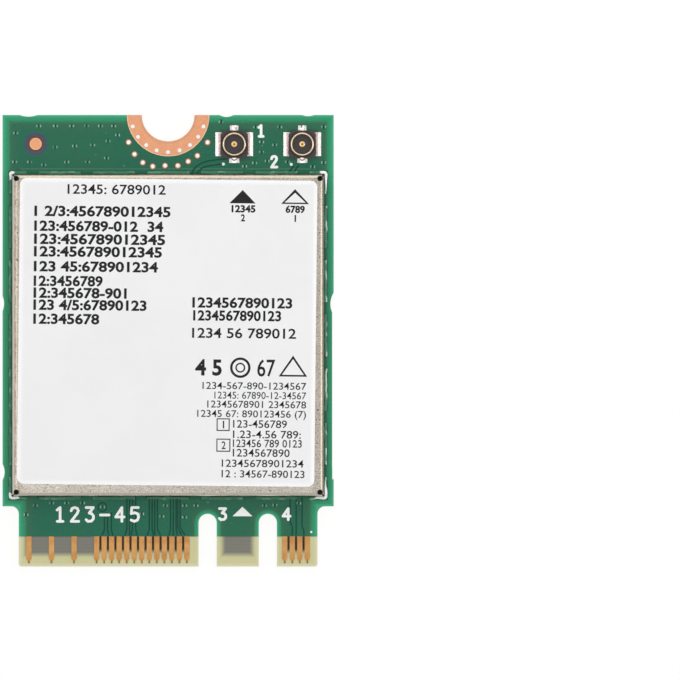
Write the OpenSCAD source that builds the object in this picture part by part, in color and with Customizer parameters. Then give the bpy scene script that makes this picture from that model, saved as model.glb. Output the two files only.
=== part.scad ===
// M.2 wireless card, 22 x 30 mm, with a key A and key E edge connector.
// It lies with its component side up. The origin is the middle of its underside,
// +Y runs towards the screw notch and the gold contacts are at the -Y end.

/* [Board] */
// Width of the board
board_w = 22; // [21.6:0.1:23]
// Length of the board, over the contact tongue
board_l = 30; // [28:0.5:34]
// Thickness of the finished board, over the solder mask
board_t = 0.8; // [0.6:0.05:1.2]
// Thickness of the solder mask on each face
mask_t = 0.05; // [0.045:0.005:0.07]
// Thickness of the bare gold-plated copper on each face
copper_t = 0.04; // [0.02:0.002:0.044]
// Gap between bare copper and the solder mask round it
mask_gap = 0.03; // [0.01:0.01:0.05]

/* [Contact tongue] */
// Width of the tongue that goes into the socket
tongue_w = 19.85; // [19.2:0.05:20.2]
// Length of the tongue, from its tip to the shoulders
tongue_l = 4; // [3.6:0.1:5]
// Radius of the milled corner where the tongue meets a shoulder
shoulder_r = 0.5; // [0.2:0.05:0.7]
// Radius of the tongue's own corners
tongue_corner_r = 0.2; // [0.05:0.05:0.4]
// Width of each key notch
key_w = 1.2; // [0.9:0.05:1.3]
// Depth of each key notch
key_depth = 3.5; // [3:0.1:4]
// Distance from the middle of the board to key notch A
key_a_x = 6.625; // [6.5:0.025:6.75]
// Distance from the middle of the board to key notch E
key_e_x = 2.625; // [2.5:0.025:2.75]
// Distance between neighbouring contacts on one face
contact_pitch = 0.5; // [0.45:0.01:0.52]
// Width of a contact
contact_w = 0.35; // [0.25:0.01:0.38]
// Bare length on the top face, from the tongue's tip to the solder mask
bare_top = 2; // [1.8:0.1:2.6]
// Bare length on the bottom face, from the tongue's tip to the solder mask
bare_bottom = 2.5; // [2.2:0.1:3]
// Gap between a contact and the tongue's tip
contact_tip_gap = 0.37; // [0.3:0.01:0.6]
// Length of a contact's tapered tip
contact_taper = 0.16; // [0.05:0.01:0.25]

/* [Screw notch] */
// Radius of the half-round screw notch
notch_r = 1.75; // [1.5:0.05:1.85]
// Width of the copper ring on the top face, which the router cut flush with the notch
ring_w = 1; // [0.85:0.05:1.05]
// Distance from the ring's outer edge in to its row of plated holes
ring_holes_in = 0.28; // [0.2:0.01:0.4]
// Plated holes in the copper ring
ring_hole_count = 9; // [3:2:9]
// How far the underside's U-shaped pad is wider than the ring, at each side
pad_beside = 0.3; // [0.29:0.01:0.45]
// How far the underside's U-shaped pad is deeper than the ring
pad_below = 1.25; // [1.2:0.05:1.5]

/* [Plated holes] */
// Bore of a plated hole beside the notch
via_bore = 0.25; // [0.15:0.01:0.28]
// Wall of the copper plating in a hole
via_wall = 0.04; // [0.02:0.005:0.05]
// Diameter of the tinned dot over a filled hole beside the ring
via_dot = 0.4; // [0.37:0.01:0.46]
// Depth to which the filled holes are open on the underside
plug_depth = 0.12; // [0.04:0.01:0.3]
// Columns of plated holes under the radio chip
heat_via_columns = 5; // [3:1:6]
// Rows of plated holes under the radio chip
heat_via_rows = 6; // [3:1:7]
// Distance between plated holes under the radio chip
heat_via_pitch = 0.905; // [0.7:0.005:1]
// Bore of a plated hole under the radio chip
heat_via_bore = 0.2; // [0.12:0.01:0.24]
// Diameter of the copper rim round it on the underside
heat_via_rim = 0.41; // [0.38:0.01:0.5]

/* [Alignment mark] */
// Diameter of the round copper alignment mark
mark_d = 0.8; // [0.5:0.05:1]
// Diameter of the opening in the solder mask round it
mark_clear_d = 1.42; // [1.2:0.02:1.6]
// Distance from the mark to the side of the board
mark_side = 2.2; // [1.5:0.1:3]
// Distance from the mark to the notch end of the board
mark_end = 1.92; // [1.4:0.02:2.4]

/* [Shield can] */
// Distance from the can's wall to each side of the board
can_side = 0.65; // [0.5:0.05:1]
// Distance from the can to the notch end of the board
can_top_gap = 3.96; // [3.9:0.02:4.4]
// Distance from the can to the tip of the tongue
can_tip_gap = 4.68; // [4.4:0.02:5.2]
// Height of the can above the board
can_h = 1.4; // [1.25:0.05:1.8]
// Thickness of the sheet metal
can_t = 0.13; // [0.1:0.01:0.2]
// Outer radius of the folds round the can's top
fold_r = 0.25; // [0.21:0.01:0.4]
// Distance between the gaps in the can's foot
foot_pitch = 3.6; // [3:0.1:4]
// Width of a gap in the can's foot
foot_gap = 0.8; // [0.5:0.05:1.1]
// Height of a gap in the can's foot
foot_gap_h = 0.35; // [0.2:0.05:0.5]
// Diameter of the relief hole in each corner of the fold
relief_d = 0.3; // [0.2:0.02:0.4]
// Distance from a relief hole's centre to each wall's outer face
relief_in = 0.26; // [0.22:0.01:0.34]
// Width of the open seam between two folded walls
seam_w = 0.08; // [0.04:0.01:0.12]
// Width of the solder fillet along the can's foot
solder_w = 0.2; // [0.1:0.01:0.26]
// Height of the solder fillet up the can's wall
solder_h = 0.26; // [0.15:0.01:0.32]
// How far a tinned land reaches inside the can's wall
land_in = 0.08; // [0.02:0.01:0.3]
// How far a tinned land reaches past the solder fillet
land_out = 0.04; // [0:0.01:0.1]

/* [Label] */
// Width of the label
label_w = 19.76; // [15:0.01:19.8]
// Length of the label
label_l = 20.34; // [15:0.01:20.4]
// Thickness of the label
label_t = 0.07; // [0.04:0.01:0.12]
// Radius of the label's corners
label_r = 0.45; // [0.1:0.05:1]
// How far the label was put on off the can's middle, towards the notch
label_shift = 0.2; // [0:0.01:0.22]
// Angle at which the label was put on, clockwise
label_turn = 0.55; // [0:0.05:0.6]

/* [Coax receptacles] */
// Diameter of a receptacle's outer ring
coax_d = 1.55; // [1.4:0.01:1.6]
// Wall of the outer ring
coax_wall = 0.11; // [0.08:0.01:0.14]
// Height of the outer ring above the board
coax_h = 0.6; // [0.5:0.02:0.8]
// Width of the moulded insulator, across the board
coax_body_w = 1.85; // [1.75:0.01:1.95]
// Length of the moulded insulator, along the board
coax_body_l = 1.8; // [1.75:0.01:1.9]
// Height of the moulded insulator round the ring
coax_body_h = 0.3; // [0.24:0.01:0.36]
// Thickness of the moulded floor inside the ring
coax_floor_h = 0.18; // [0.17:0.01:0.22]
// Height of the raised hub on that floor, round the pin
coax_hub_h = 0.04; // [0.02:0.01:0.08]
// Diameter of the hub
coax_hub_d = 0.84; // [0.6:0.02:1]
// How far the ring's foot flares out inside the insulator
coax_flare = 0.05; // [0.03:0.01:0.06]
// Corner cut of the moulded insulator
coax_corner = 0.22; // [0.1:0.01:0.3]
// Diameter of the centre pin
pin_d = 0.42; // [0.3:0.01:0.5]
// Height of the centre pin above the board
pin_h = 0.48; // [0.36:0.01:0.5]
// Thickness of the stamped tabs
tab_t = 0.1; // [0.06:0.01:0.12]
// Width of a receptacle over its side tabs
tab_span = 2.46; // [2.2:0.01:2.7]
// Length of a side tab, along the board
tab_l = 1.54; // [1.4:0.01:1.6]
// Distance from the aux receptacle's centre to the side of the board
aux_side = 2.09; // [1.5:0.01:2.3]
// Distance from the copper ring to the main receptacle's side tab
coax_from_ring = 0.41; // [0.4:0.01:1]
// Distance from the receptacles' centres to the notch end of the board
coax_end = 1.94; // [1.5:0.01:2.2]

/* [Radio chip] */
// Width and length of the radio chip
chip_w = 9; // [7:0.1:9.6]
// Height of the radio chip's moulded body
chip_h = 0.8; // [0.5:0.05:1]
// Height of the chip's terminals under its body
chip_stand = 0.05; // [0.02:0.01:0.1]
// Distance from the chip's centre to the middle of the board, across it
chip_x = -0.33; // [-1:0.01:1]
// Distance from the chip's centre to the middle of the board, along it
chip_y = -0.42; // [-1:0.01:1]
// Distance between the chip's terminals
lead_pitch = 0.5; // [0.4:0.05:0.65]
// Width of a terminal
lead_w = 0.24; // [0.15:0.01:0.3]
// Length of a terminal
lead_l = 0.45; // [0.3:0.01:0.6]
// Width of the chip's heat pad
heat_pad_w = 5.2; // [4:0.1:5.6]
// Length of the chip's heat pad
heat_pad_l = 5.8; // [4.6:0.1:6.2]

/* [Small components] */
// Width and length of a front-end module
front_end_w = 3; // [2:0.1:3.6]
// Height of a front-end module
front_end_h = 0.6; // [0.4:0.05:0.9]
// Length of an antenna filter
filter_l = 1.6; // [1:0.1:2]
// Width of an antenna filter
filter_w = 0.8; // [0.5:0.05:1]
// Height of an antenna filter
filter_h = 0.6; // [0.3:0.05:0.8]
// Width of the crystal, across the board
crystal_w = 2; // [1.6:0.1:2.2]
// Length of the crystal, along the board
crystal_l = 2.5; // [2:0.1:3.2]
// Height of the crystal's ceramic base
crystal_base_h = 0.35; // [0.2:0.05:0.5]
// Height of the crystal's metal lid
crystal_lid_h = 0.2; // [0.1:0.05:0.4]
// Width of the memory chip, across the board
memory_w = 2; // [1.5:0.1:2.4]
// Length of the memory chip, along the board
memory_l = 3; // [2:0.1:3.4]
// Height of the memory chip
memory_h = 0.55; // [0.4:0.05:0.8]
// Width of a power inductor, across the board
inductor_w = 2.5; // [1.6:0.1:2.8]
// Length of a power inductor, along the board
inductor_l = 2; // [1.6:0.1:2.4]
// Height of a power inductor
inductor_h = 1; // [0.6:0.05:1.05]
// Length of a capacitor or resistor
passive_l = 1; // [0.6:0.05:1.1]
// Width of a capacitor or resistor
passive_w = 0.5; // [0.3:0.05:0.6]
// Height of a capacitor
capacitor_h = 0.5; // [0.3:0.05:0.6]
// Height of a resistor
resistor_h = 0.35; // [0.2:0.05:0.5]

/* [Hidden] */

$fn = 48;
cut = 0.5; // overrun of a cutting shape past the face that it cuts
sliver = 0.01; // sink that joins two shapes of one solid

// Levels of the board's layers
laminate_bottom = mask_t;
laminate_top = board_t - mask_t;
copper_bottom = mask_t - copper_t;
copper_top = laminate_top + copper_t;
can_top = board_t + can_h;

// Ends of the board
tip_y = -board_l / 2;
end_y = board_l / 2;
shoulder_y = tip_y + tongue_l;

// Edge contacts: odd pins are on the top face and even pins on the bottom face
top_pins = [1, 3, 5, 7, 33, 35, 37, 39, 41, 43, 45, 47, 49, 51, 53, 55, 57, 63, 69, 75];
bottom_pins = [2, 4, 6, 16, 18, 50, 52, 54, 56, 72, 74];
middle_pin = 38;
plating_tail_w = 0.1;
plating_tail_gap = 0.22;

// Copper round the screw notch
ring_outer_r = notch_r + ring_w;
ring_hole_step = 18;
barrel_r = via_bore / 2 + via_wall;
pad_r = ring_outer_r + pad_beside;
pad_depth = ring_outer_r + pad_below;
// Filled holes beside the ring, which leave room for the aerial tracks: the angle from
// straight below the notch, and the distance out from the ring's edge
filled_holes = [
    [-55.4, 0.44], [-40.6, 0.68], [-28, 0.83], [-16.7, 0.81], [-3.5, 0.62],
    [10.9, 0.68], [23.4, 0.61], [35.7, 0.58], [55.3, 0.44]
];
heat_barrel_r = heat_via_bore / 2 + via_wall;

// Bites that breaking the card out of its panel left in the edges: place, width, depth
bites_end = [[-9.27, 1.2, 0.11], [3.88, 0.93, 0.13], [9.3, 0.8, 0.08]];
bites_left = [[2.47, 1, 0.1], [-8.72, 1.06, 0.14]];
bites_right = [[2.44, 1.5, 0.22]];
// The right side was routed deeper between a bite and a point near the shoulder
right_trim = 0.1;
right_trim_from = -9.2;
right_trim_to = 2.44;

// Shield can
can_w = board_w - 2 * can_side;
can_l = board_l - can_top_gap - can_tip_gap;
can_y = (can_tip_gap - can_top_gap) / 2;
corner_foot_min = 0.6;
foot_l = foot_pitch - foot_gap;
solder_hollow_r = 1.1 * max(solder_w, solder_h);

// Receptacles, with their lands placed from the receptacle's centre
main_x = ring_outer_r + coax_from_ring + tab_span / 2;
aux_x = board_w / 2 - aux_side;
coax_y = end_y - coax_end;
coax_r = coax_d / 2;
coax_reach = 1.25;
side_land_w = 0.36;
side_land_margin = 0.03;
signal_land_w = 0.68;
signal_land_l = 0.3;
rear_land_w = 0.56;
rear_land_l = 0.33;
strip_w = 0.3;
strip_room = 0.12;
pin_edge_r = 0.08;
pin_dimple_d = 0.16;
pin_dimple_h = 0.12;

// Radio chip
leads_a_side = floor((chip_w - 2 * lead_l - 2 * lead_w) / lead_pitch) + 1;
land_toe = 0.15; // length of a land past the terminal on it
heat_pad_corner = 0.6;
mark_dimple_r = 0.3;
mark_dimple_h = 0.05;
mark_dimple_in = 0.8;

// The small components stand in rows and columns round the radio chip
part_gap = 0.4;
side_passive_x = chip_w / 2 + part_gap + passive_l / 2;
crystal_x = chip_x - side_passive_x - passive_l / 2 - part_gap - crystal_w / 2;
memory_x = chip_x - side_passive_x - passive_l / 2 - part_gap - memory_w / 2;
inductor_x = chip_x + side_passive_x + passive_l / 2 + part_gap + inductor_w / 2;
crystal_y = chip_y + part_gap / 2 + crystal_l / 2;
memory_y = chip_y - part_gap / 2 - memory_l / 2;
core_inductor_y = chip_y + part_gap + inductor_l / 2;
radio_inductor_y = chip_y - part_gap - inductor_l / 2;
filter_y = chip_y + chip_w / 2 + part_gap + filter_w / 2;
front_end_y = filter_y + filter_w / 2 + part_gap + front_end_w / 2;
main_front_end_x = main_x - front_end_w / 2;
aux_front_end_x = aux_x - front_end_w / 2;
passive_room = 0.6;
passive_step = passive_w + passive_room;
bottom_row_y = chip_y - chip_w / 2 - 2 * part_gap - passive_l / 2;
bottom_row = 13;
side_column = 5;
end_cap_l = 0.22;
end_cap_t = 0.02;
lid_margin = 0.15;
filter_band_w = 0.25;
inductor_corner = 0.3;

function pin_x(n) = contact_pitch * (middle_pin - n) / 2;

// Middles of the gaps, and of the feet between them, along a wall of the can
function gaps_in_half(wall) =
    floor((wall / 2 - corner_foot_min - foot_gap / 2) / foot_pitch + 0.5);
function gap_places(wall) =
    [for (k = [1 : gaps_in_half(wall)], side = [-1, 1]) side * (k - 0.5) * foot_pitch];
function foot_places(wall) =
    [for (k = [1 - gaps_in_half(wall) : gaps_in_half(wall) - 1]) k * foot_pitch];
function corner_foot(wall) =
    wall / 2 - (gaps_in_half(wall) - 0.5) * foot_pitch - foot_gap / 2;

function centred(count, step) = [for (i = [0 : count - 1]) (i - (count - 1) / 2) * step];

module mirrored_x() {
    children();
    mirror([1, 0, 0]) children();
}

module four_sides() {
    for (turn = [0 : 90 : 270]) rotate(turn) children();
}

// Board

// A shallow round bite in an edge that faces +Y and runs through the origin
module bite(w, depth) {
    r = (w * w / 4 + depth * depth) / (2 * depth);
    translate([0, r - depth]) circle(r, $fn = 96);
}

module key_notch() {
    translate([0, key_depth - key_w / 2]) circle(key_w / 2);
    translate([-key_w / 2, -cut]) square([key_w, key_depth - key_w / 2 + cut]);
}

// What rounding takes off a corner that lies at the origin, with the solid up and right of it
module corner_waste(r) {
    difference() {
        translate([-cut, -cut]) square(r + cut);
        translate([r, r]) circle(r);
    }
}

module board_outline() {
    difference() {
        union() {
            translate([-board_w / 2, shoulder_y]) square([board_w, board_l - tongue_l]);
            translate([-tongue_w / 2, tip_y]) square([tongue_w, tongue_l + sliver]);
            mirrored_x() translate([tongue_w / 2, shoulder_y - shoulder_r]) difference() {
                translate([-sliver, 0]) square([shoulder_r + sliver, shoulder_r + sliver]);
                translate([shoulder_r, 0]) circle(shoulder_r);
            }
        }
        translate([0, end_y]) circle(notch_r, $fn = 96);
        translate([key_a_x, tip_y]) key_notch();
        translate([key_e_x, tip_y]) key_notch();
        mirrored_x() translate([-tongue_w / 2, tip_y]) corner_waste(tongue_corner_r);
        for (b = bites_end) translate([b[0], end_y]) bite(b[1], b[2]);
        for (b = bites_left) translate([-board_w / 2, b[0]]) rotate(90) bite(b[1], b[2]);
        for (b = bites_right) translate([board_w / 2, b[0]]) rotate(-90) bite(b[1], b[2]);
        translate([board_w / 2 - right_trim, right_trim_from])
            square([right_trim + cut, right_trim_to - right_trim_from]);
    }
}

module from_notch(turn, r) {
    translate([0, end_y]) rotate(turn) translate([0, -r]) children();
}

module at_ring_holes() {
    for (turn = centred(ring_hole_count, ring_hole_step))
        from_notch(turn, ring_outer_r - ring_holes_in) children();
}

module at_filled_holes() {
    for (h = filled_holes) from_notch(h[0], ring_outer_r + h[1]) children();
}

module at_heat_vias() {
    for (x = centred(heat_via_columns, heat_via_pitch), y = centred(heat_via_rows, heat_via_pitch))
        translate([chip_x + x, chip_y + y]) children();
}

module board_laminate() {
    color("palegoldenrod") translate([0, 0, laminate_bottom])
        linear_extrude(laminate_top - laminate_bottom) difference() {
            board_outline();
            at_ring_holes() circle(barrel_r);
            at_filled_holes() circle(barrel_r);
            at_heat_vias() circle(heat_barrel_r);
        }
}

module bare_end(l) {
    translate([-board_w / 2 - cut, tip_y - cut]) square([board_w + 2 * cut, l + cut]);
}

// The U-shaped ground pad, grown by g
module u_pad(g = 0) {
    translate([0, end_y - pad_depth + pad_r]) circle(pad_r + g, $fn = 96);
    translate([-pad_r - g, end_y - pad_depth + pad_r])
        square([2 * (pad_r + g), pad_depth - pad_r + cut]);
}

module above_end() {
    translate([-board_w / 2, end_y]) square([board_w, board_w / 2]);
}

module solder_mask_top() {
    color("seagreen") translate([0, 0, laminate_top]) linear_extrude(mask_t) difference() {
        board_outline();
        bare_end(bare_top);
        translate([0, end_y]) circle(ring_outer_r + mask_gap, $fn = 96);
        at_filled_holes() circle(via_dot / 2 + mask_gap);
        at_mark() circle(d = mark_clear_d);
        can_land_shapes(mask_gap);
        at_receptacles() coax_land_shapes(mask_gap);
        component_land_shapes(mask_gap);
    }
}

module solder_mask_bottom() {
    color("seagreen") linear_extrude(mask_t) difference() {
        board_outline();
        bare_end(bare_bottom);
        u_pad(mask_gap);
        at_heat_vias() circle(d = heat_via_rim);
    }
}

// Copper

module ground_ring_top() {
    color("peru") translate([0, 0, laminate_top]) linear_extrude(copper_t) difference() {
        translate([0, end_y]) circle(ring_outer_r, $fn = 96);
        translate([0, end_y]) circle(notch_r, $fn = 96);
        above_end();
        at_ring_holes() circle(barrel_r);
    }
}

module ground_pad_bottom() {
    color("peru") translate([0, 0, copper_bottom]) linear_extrude(copper_t) difference() {
        u_pad();
        translate([0, end_y]) circle(notch_r, $fn = 96);
        above_end();
        at_ring_holes() circle(barrel_r);
        at_filled_holes() circle(barrel_r);
    }
}

// The ring's own holes are open right through. Those beside it are filled with solder,
// which ends in a dot on the top face.
module notch_vias() {
    color("darkgoldenrod") {
        at_ring_holes() difference() {
            translate([0, 0, copper_bottom]) cylinder(r = barrel_r, h = copper_top - copper_bottom);
            translate([0, 0, -cut]) cylinder(d = via_bore, h = board_t + 2 * cut);
        }
        at_filled_holes() difference() {
            union() {
                translate([0, 0, copper_bottom]) cylinder(r = barrel_r, h = copper_top - copper_bottom);
                translate([0, 0, laminate_top]) cylinder(d = via_dot, h = copper_t);
            }
            translate([0, 0, -cut]) cylinder(d = via_bore, h = cut + copper_bottom + plug_depth);
        }
    }
}

module heat_vias() {
    color("tan") at_heat_vias() difference() {
        union() {
            translate([0, 0, copper_bottom]) cylinder(r = heat_barrel_r, h = laminate_top - copper_bottom);
            translate([0, 0, copper_bottom]) cylinder(d = heat_via_rim, h = copper_t);
        }
        translate([0, 0, -cut]) cylinder(d = heat_via_bore, h = board_t + 2 * cut);
    }
}

// One contact, with the stub of its plating bus line at the tip
module contact(bare) {
    shoulder = contact_tip_gap + contact_taper;
    polygon([
        [-contact_w / 2, bare], [contact_w / 2, bare], [contact_w / 2, shoulder],
        [plating_tail_w / 2, contact_tip_gap], [plating_tail_w / 2, plating_tail_gap],
        [-plating_tail_w / 2, plating_tail_gap], [-plating_tail_w / 2, contact_tip_gap],
        [-contact_w / 2, shoulder]
    ]);
}

module contacts_top() {
    color("goldenrod") translate([0, 0, laminate_top]) linear_extrude(copper_t)
        for (n = top_pins) translate([pin_x(n), tip_y]) contact(bare_top);
}

module contacts_bottom() {
    color("goldenrod") translate([0, 0, copper_bottom]) linear_extrude(copper_t)
        for (n = bottom_pins) translate([pin_x(n), tip_y]) contact(bare_bottom);
}

module at_mark() {
    translate([mark_side - board_w / 2, end_y - mark_end]) children();
}

module alignment_mark() {
    color("peru") translate([0, 0, laminate_top]) at_mark() cylinder(d = mark_d, h = copper_t);
}

// Shield can

// Runs children() along each wall with the wall's length as $wall. The origin is the
// middle of the wall's outer face and +X points out of the can.
module along_walls() {
    translate([0, can_y]) for (side = [0, 1]) {
        rotate(180 * side) translate([can_w / 2, 0]) let ($wall = can_l) children();
        rotate(90 + 180 * side) translate([can_l / 2, 0]) let ($wall = can_w) children();
    }
}

module can_land_shapes(g = 0) {
    inner = can_t + land_in + g;
    outer = solder_w + land_out + g;
    along_walls() {
        for (y = foot_places($wall)) translate([-inner, y - foot_l / 2 - g])
            square([inner + outer, foot_l + 2 * g]);
        l = corner_foot($wall) + g;
        for (y = [-$wall / 2 - solder_w - land_out - g, $wall / 2 - l])
            translate([-inner, y]) square([inner + outer, l + solder_w + land_out + g]);
    }
}

module can_lands() {
    color("silver") translate([0, 0, laminate_top]) linear_extrude(mask_t) can_land_shapes();
}

// Section of a solder fillet, with the wall on its left and a hollow outer face
module solder_section() {
    chord = norm([solder_w, solder_h]);
    out = sqrt(solder_hollow_r * solder_hollow_r - chord * chord / 4) / chord;
    difference() {
        polygon([[0, 0], [solder_w, 0], [0, solder_h]]);
        translate([solder_w / 2 + solder_h * out, solder_h / 2 + solder_w * out])
            circle(solder_hollow_r);
    }
}

module solder_run(l) {
    rotate([90, 0, 0]) linear_extrude(l, center = true) solder_section();
}

module can_solder() {
    color("gainsboro") translate([0, 0, board_t]) {
        along_walls() for (y = foot_places($wall)) translate([0, y, 0]) solder_run(foot_l);
        translate([0, can_y]) for (side = [0, 1], flip = [0, 1])
            rotate(180 * side) mirror([flip, 0, 0]) translate([can_w / 2, can_l / 2]) {
                rotate_extrude(angle = 90) solder_section();
                translate([0, -corner_foot(can_l) / 2, 0]) solder_run(corner_foot(can_l));
                translate([-corner_foot(can_w) / 2, 0, 0]) rotate(90) solder_run(corner_foot(can_w));
            }
    }
}

// Section across a sheet folded down along both sides, filled to its foot
module fold_section(w, h, r) {
    difference() {
        translate([-w / 2, 0]) square([w, h]);
        mirrored_x() translate([w / 2, h]) rotate(180) corner_waste(r);
    }
}

module folded_block(w, l, h, r) {
    intersection() {
        rotate([90, 0, 0]) linear_extrude(l, center = true) fold_section(w, h, r);
        rotate([90, 0, 90]) linear_extrude(w, center = true) fold_section(l, h, r);
    }
}

// One sheet: a flat top, four walls folded down with an open seam at each corner,
// a relief hole where the folds meet, and feet with gaps between them
module shield_can() {
    color("lightgray") translate([0, can_y, board_t]) difference() {
        folded_block(can_w, can_l, can_h, fold_r);
        translate([0, 0, -cut])
            folded_block(can_w - 2 * can_t, can_l - 2 * can_t, can_h - can_t + cut, fold_r - can_t);
        for (side = [0, 1], flip = [0, 1]) rotate(180 * side) mirror([flip, 0, 0])
            translate([can_w / 2, can_l / 2, 0]) {
                translate([-relief_in, -relief_in, can_h - 2 * fold_r])
                    cylinder(d = relief_d, h = 2 * fold_r + cut);
                rotate(45) translate([-relief_in * sqrt(2), -seam_w / 2, -cut])
                    cube([relief_in * sqrt(2) + cut, seam_w, can_h + 2 * cut]);
            }
        for (x = gap_places(can_w)) translate([x - foot_gap / 2, -can_l / 2 - cut, -cut])
            cube([foot_gap, can_l + 2 * cut, foot_gap_h + cut]);
        for (y = gap_places(can_l)) translate([-can_w / 2 - cut, y - foot_gap / 2, -cut])
            cube([can_w + 2 * cut, foot_gap, foot_gap_h + cut]);
    }
}

module label() {
    color("whitesmoke") translate([0, can_y + label_shift, can_top]) rotate(-label_turn)
        linear_extrude(label_t) {
            square([label_w - 2 * label_r, label_l], center = true);
            square([label_w, label_l - 2 * label_r], center = true);
            for (x = [-1, 1], y = [-1, 1])
                translate([x * (label_w / 2 - label_r), y * (label_l / 2 - label_r)]) circle(label_r);
        }
}

// Coax receptacles

module at_receptacles() {
    translate([main_x, coax_y]) children();
    translate([aux_x, coax_y]) children();
}

module coax_land_shapes(g = 0) {
    side_land_l = tab_l + 2 * side_land_margin;
    mirrored_x() translate([tab_span / 2 + side_land_margin - side_land_w - g, -side_land_l / 2 - g])
        square([side_land_w + 2 * g, side_land_l + 2 * g]);
    translate([-signal_land_w / 2 - g, -coax_reach - g])
        square([signal_land_w + 2 * g, signal_land_l + 2 * g]);
    translate([-rear_land_w / 2 - g, coax_reach - rear_land_l - g])
        square([rear_land_w + 2 * g, rear_land_l + 2 * g]);
}

module coax_lands() {
    color("silver") translate([0, 0, laminate_top]) linear_extrude(mask_t)
        at_receptacles() coax_land_shapes();
}

// The drawn ring with its flared foot, two side tabs and rear tab, notched for the signal tail
module coax_ring() {
    difference() {
        union() {
            rotate_extrude() {
                translate([coax_r, 0]) polygon([
                    [coax_flare, 0], [0, coax_body_h], [0, coax_h - coax_wall / 2],
                    [-coax_wall, coax_h - coax_wall / 2], [-coax_wall, coax_body_h],
                    [coax_flare - coax_wall, 0]
                ]);
                translate([coax_r - coax_wall / 2, coax_h - coax_wall / 2]) circle(coax_wall / 2);
            }
            difference() {
                union() {
                    translate([-tab_span / 2, -tab_l / 2, 0]) cube([tab_span, tab_l, tab_t]);
                    translate([-strip_w / 2, 0, 0]) cube([strip_w, coax_reach, tab_t]);
                }
                translate([0, 0, -cut]) cylinder(r = coax_r, h = tab_t + 2 * cut);
            }
        }
        translate([-strip_w / 2 - strip_room, -coax_reach, -cut])
            cube([strip_w + 2 * strip_room, coax_reach, tab_t + strip_room + cut]);
    }
}

// The centre pin with its tail to the signal land
module coax_pin() {
    rotate_extrude() difference() {
        union() {
            square([pin_d / 2 - pin_edge_r, pin_h]);
            square([pin_d / 2, pin_h - pin_edge_r]);
            translate([pin_d / 2 - pin_edge_r, pin_h - pin_edge_r]) circle(pin_edge_r);
        }
        translate([0, pin_h - pin_dimple_h]) square([pin_dimple_d / 2, pin_dimple_h + cut]);
    }
    translate([-strip_w / 2, -coax_reach, 0]) cube([strip_w, coax_reach, tab_t]);
}

// The insulator is moulded round the ring's foot and round the pin
module coax_insulator() {
    difference() {
        linear_extrude(coax_body_h) difference() {
            square([coax_body_w, coax_body_l], center = true);
            for (x = [-1, 1], y = [-1, 1])
                translate([x * coax_body_w / 2, y * coax_body_l / 2]) rotate(45)
                    square(coax_corner * sqrt(2), center = true);
        }
        translate([0, 0, coax_floor_h]) difference() {
            cylinder(r = coax_r - coax_wall / 2, h = coax_body_h);
            translate([0, 0, -sliver]) cylinder(d = coax_hub_d, h = coax_hub_h + sliver);
        }
        coax_ring();
        coax_pin();
    }
}

module on_board(x, y) {
    translate([x, y, board_t]) children();
}

module main_coax_insulator() { color("dimgray") on_board(main_x, coax_y) coax_insulator(); }
module main_coax_ring() { color("gold") on_board(main_x, coax_y) coax_ring(); }
module main_coax_pin() { color("gold") on_board(main_x, coax_y) coax_pin(); }
module aux_coax_insulator() { color("dimgray") on_board(aux_x, coax_y) coax_insulator(); }
module aux_coax_ring() { color("gold") on_board(aux_x, coax_y) coax_ring(); }
module aux_coax_pin() { color("gold") on_board(aux_x, coax_y) coax_pin(); }

// Components under the can

// Terminals round a chip's edge, each running in from the edge by lead_l and out by toe
module lead_shapes(toe = 0, g = 0) {
    four_sides() for (y = centred(leads_a_side, lead_pitch))
        translate([chip_w / 2 - lead_l - g, y - lead_w / 2 - g])
            square([lead_l + toe + 2 * g, lead_w + 2 * g]);
}

module heat_pad_shape() {
    difference() {
        square([heat_pad_w, heat_pad_l], center = true);
        translate([-heat_pad_w / 2, heat_pad_l / 2]) rotate(45)
            square(heat_pad_corner * sqrt(2), center = true);
    }
}

// The two end lands of a chip part that lies along X
module end_land_shapes(l, w, g = 0) {
    mirrored_x() translate([l / 2 - end_cap_l - g, -w / 2 - g])
        square([end_cap_l + land_toe + 2 * g, w + 2 * g]);
}

// The four corner lands of a small package
module corner_land_shapes(w, l, g = 0) {
    for (x = [-1, 1], y = [-1, 1])
        translate([x * (w - lead_l) / 2, y * (l - lead_l) / 2])
            square(lead_l + 2 * g, center = true);
}

module at_bottom_row() {
    for (x = centred(bottom_row, passive_step)) translate([chip_x + x, bottom_row_y])
        rotate(90) children();
}

module at_side_column(side) {
    for (y = centred(side_column, passive_step))
        translate([chip_x + side * side_passive_x, chip_y + y]) children();
}

module component_land_shapes(g = 0) {
    translate([chip_x, chip_y]) {
        lead_shapes(land_toe, g);
        heat_pad_shape();
    }
    at_bottom_row() end_land_shapes(passive_l, passive_w, g);
    at_side_column(-1) end_land_shapes(passive_l, passive_w, g);
    at_side_column(1) end_land_shapes(passive_l, passive_w, g);
    translate([crystal_x, crystal_y]) corner_land_shapes(crystal_w, crystal_l, g);
    translate([memory_x, memory_y]) corner_land_shapes(memory_w, memory_l, g);
    for (y = [core_inductor_y, radio_inductor_y])
        translate([inductor_x, y]) end_land_shapes(inductor_w, inductor_l, g);
    for (x = [main_front_end_x, aux_front_end_x]) {
        translate([x, front_end_y]) corner_land_shapes(front_end_w, front_end_w, g);
        translate([x, filter_y]) end_land_shapes(filter_l, filter_w, g);
    }
}

module component_lands() {
    color("silver") translate([0, 0, laminate_top]) linear_extrude(mask_t) component_land_shapes();
}

module radio_chip() {
    color("darkslategray") on_board(chip_x, chip_y) translate([0, 0, chip_stand])
        moulded_package(chip_w, chip_w, chip_h);
}

module radio_chip_terminals() {
    color("silver") on_board(chip_x, chip_y) linear_extrude(chip_stand) {
        lead_shapes();
        heat_pad_shape();
    }
}

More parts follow.
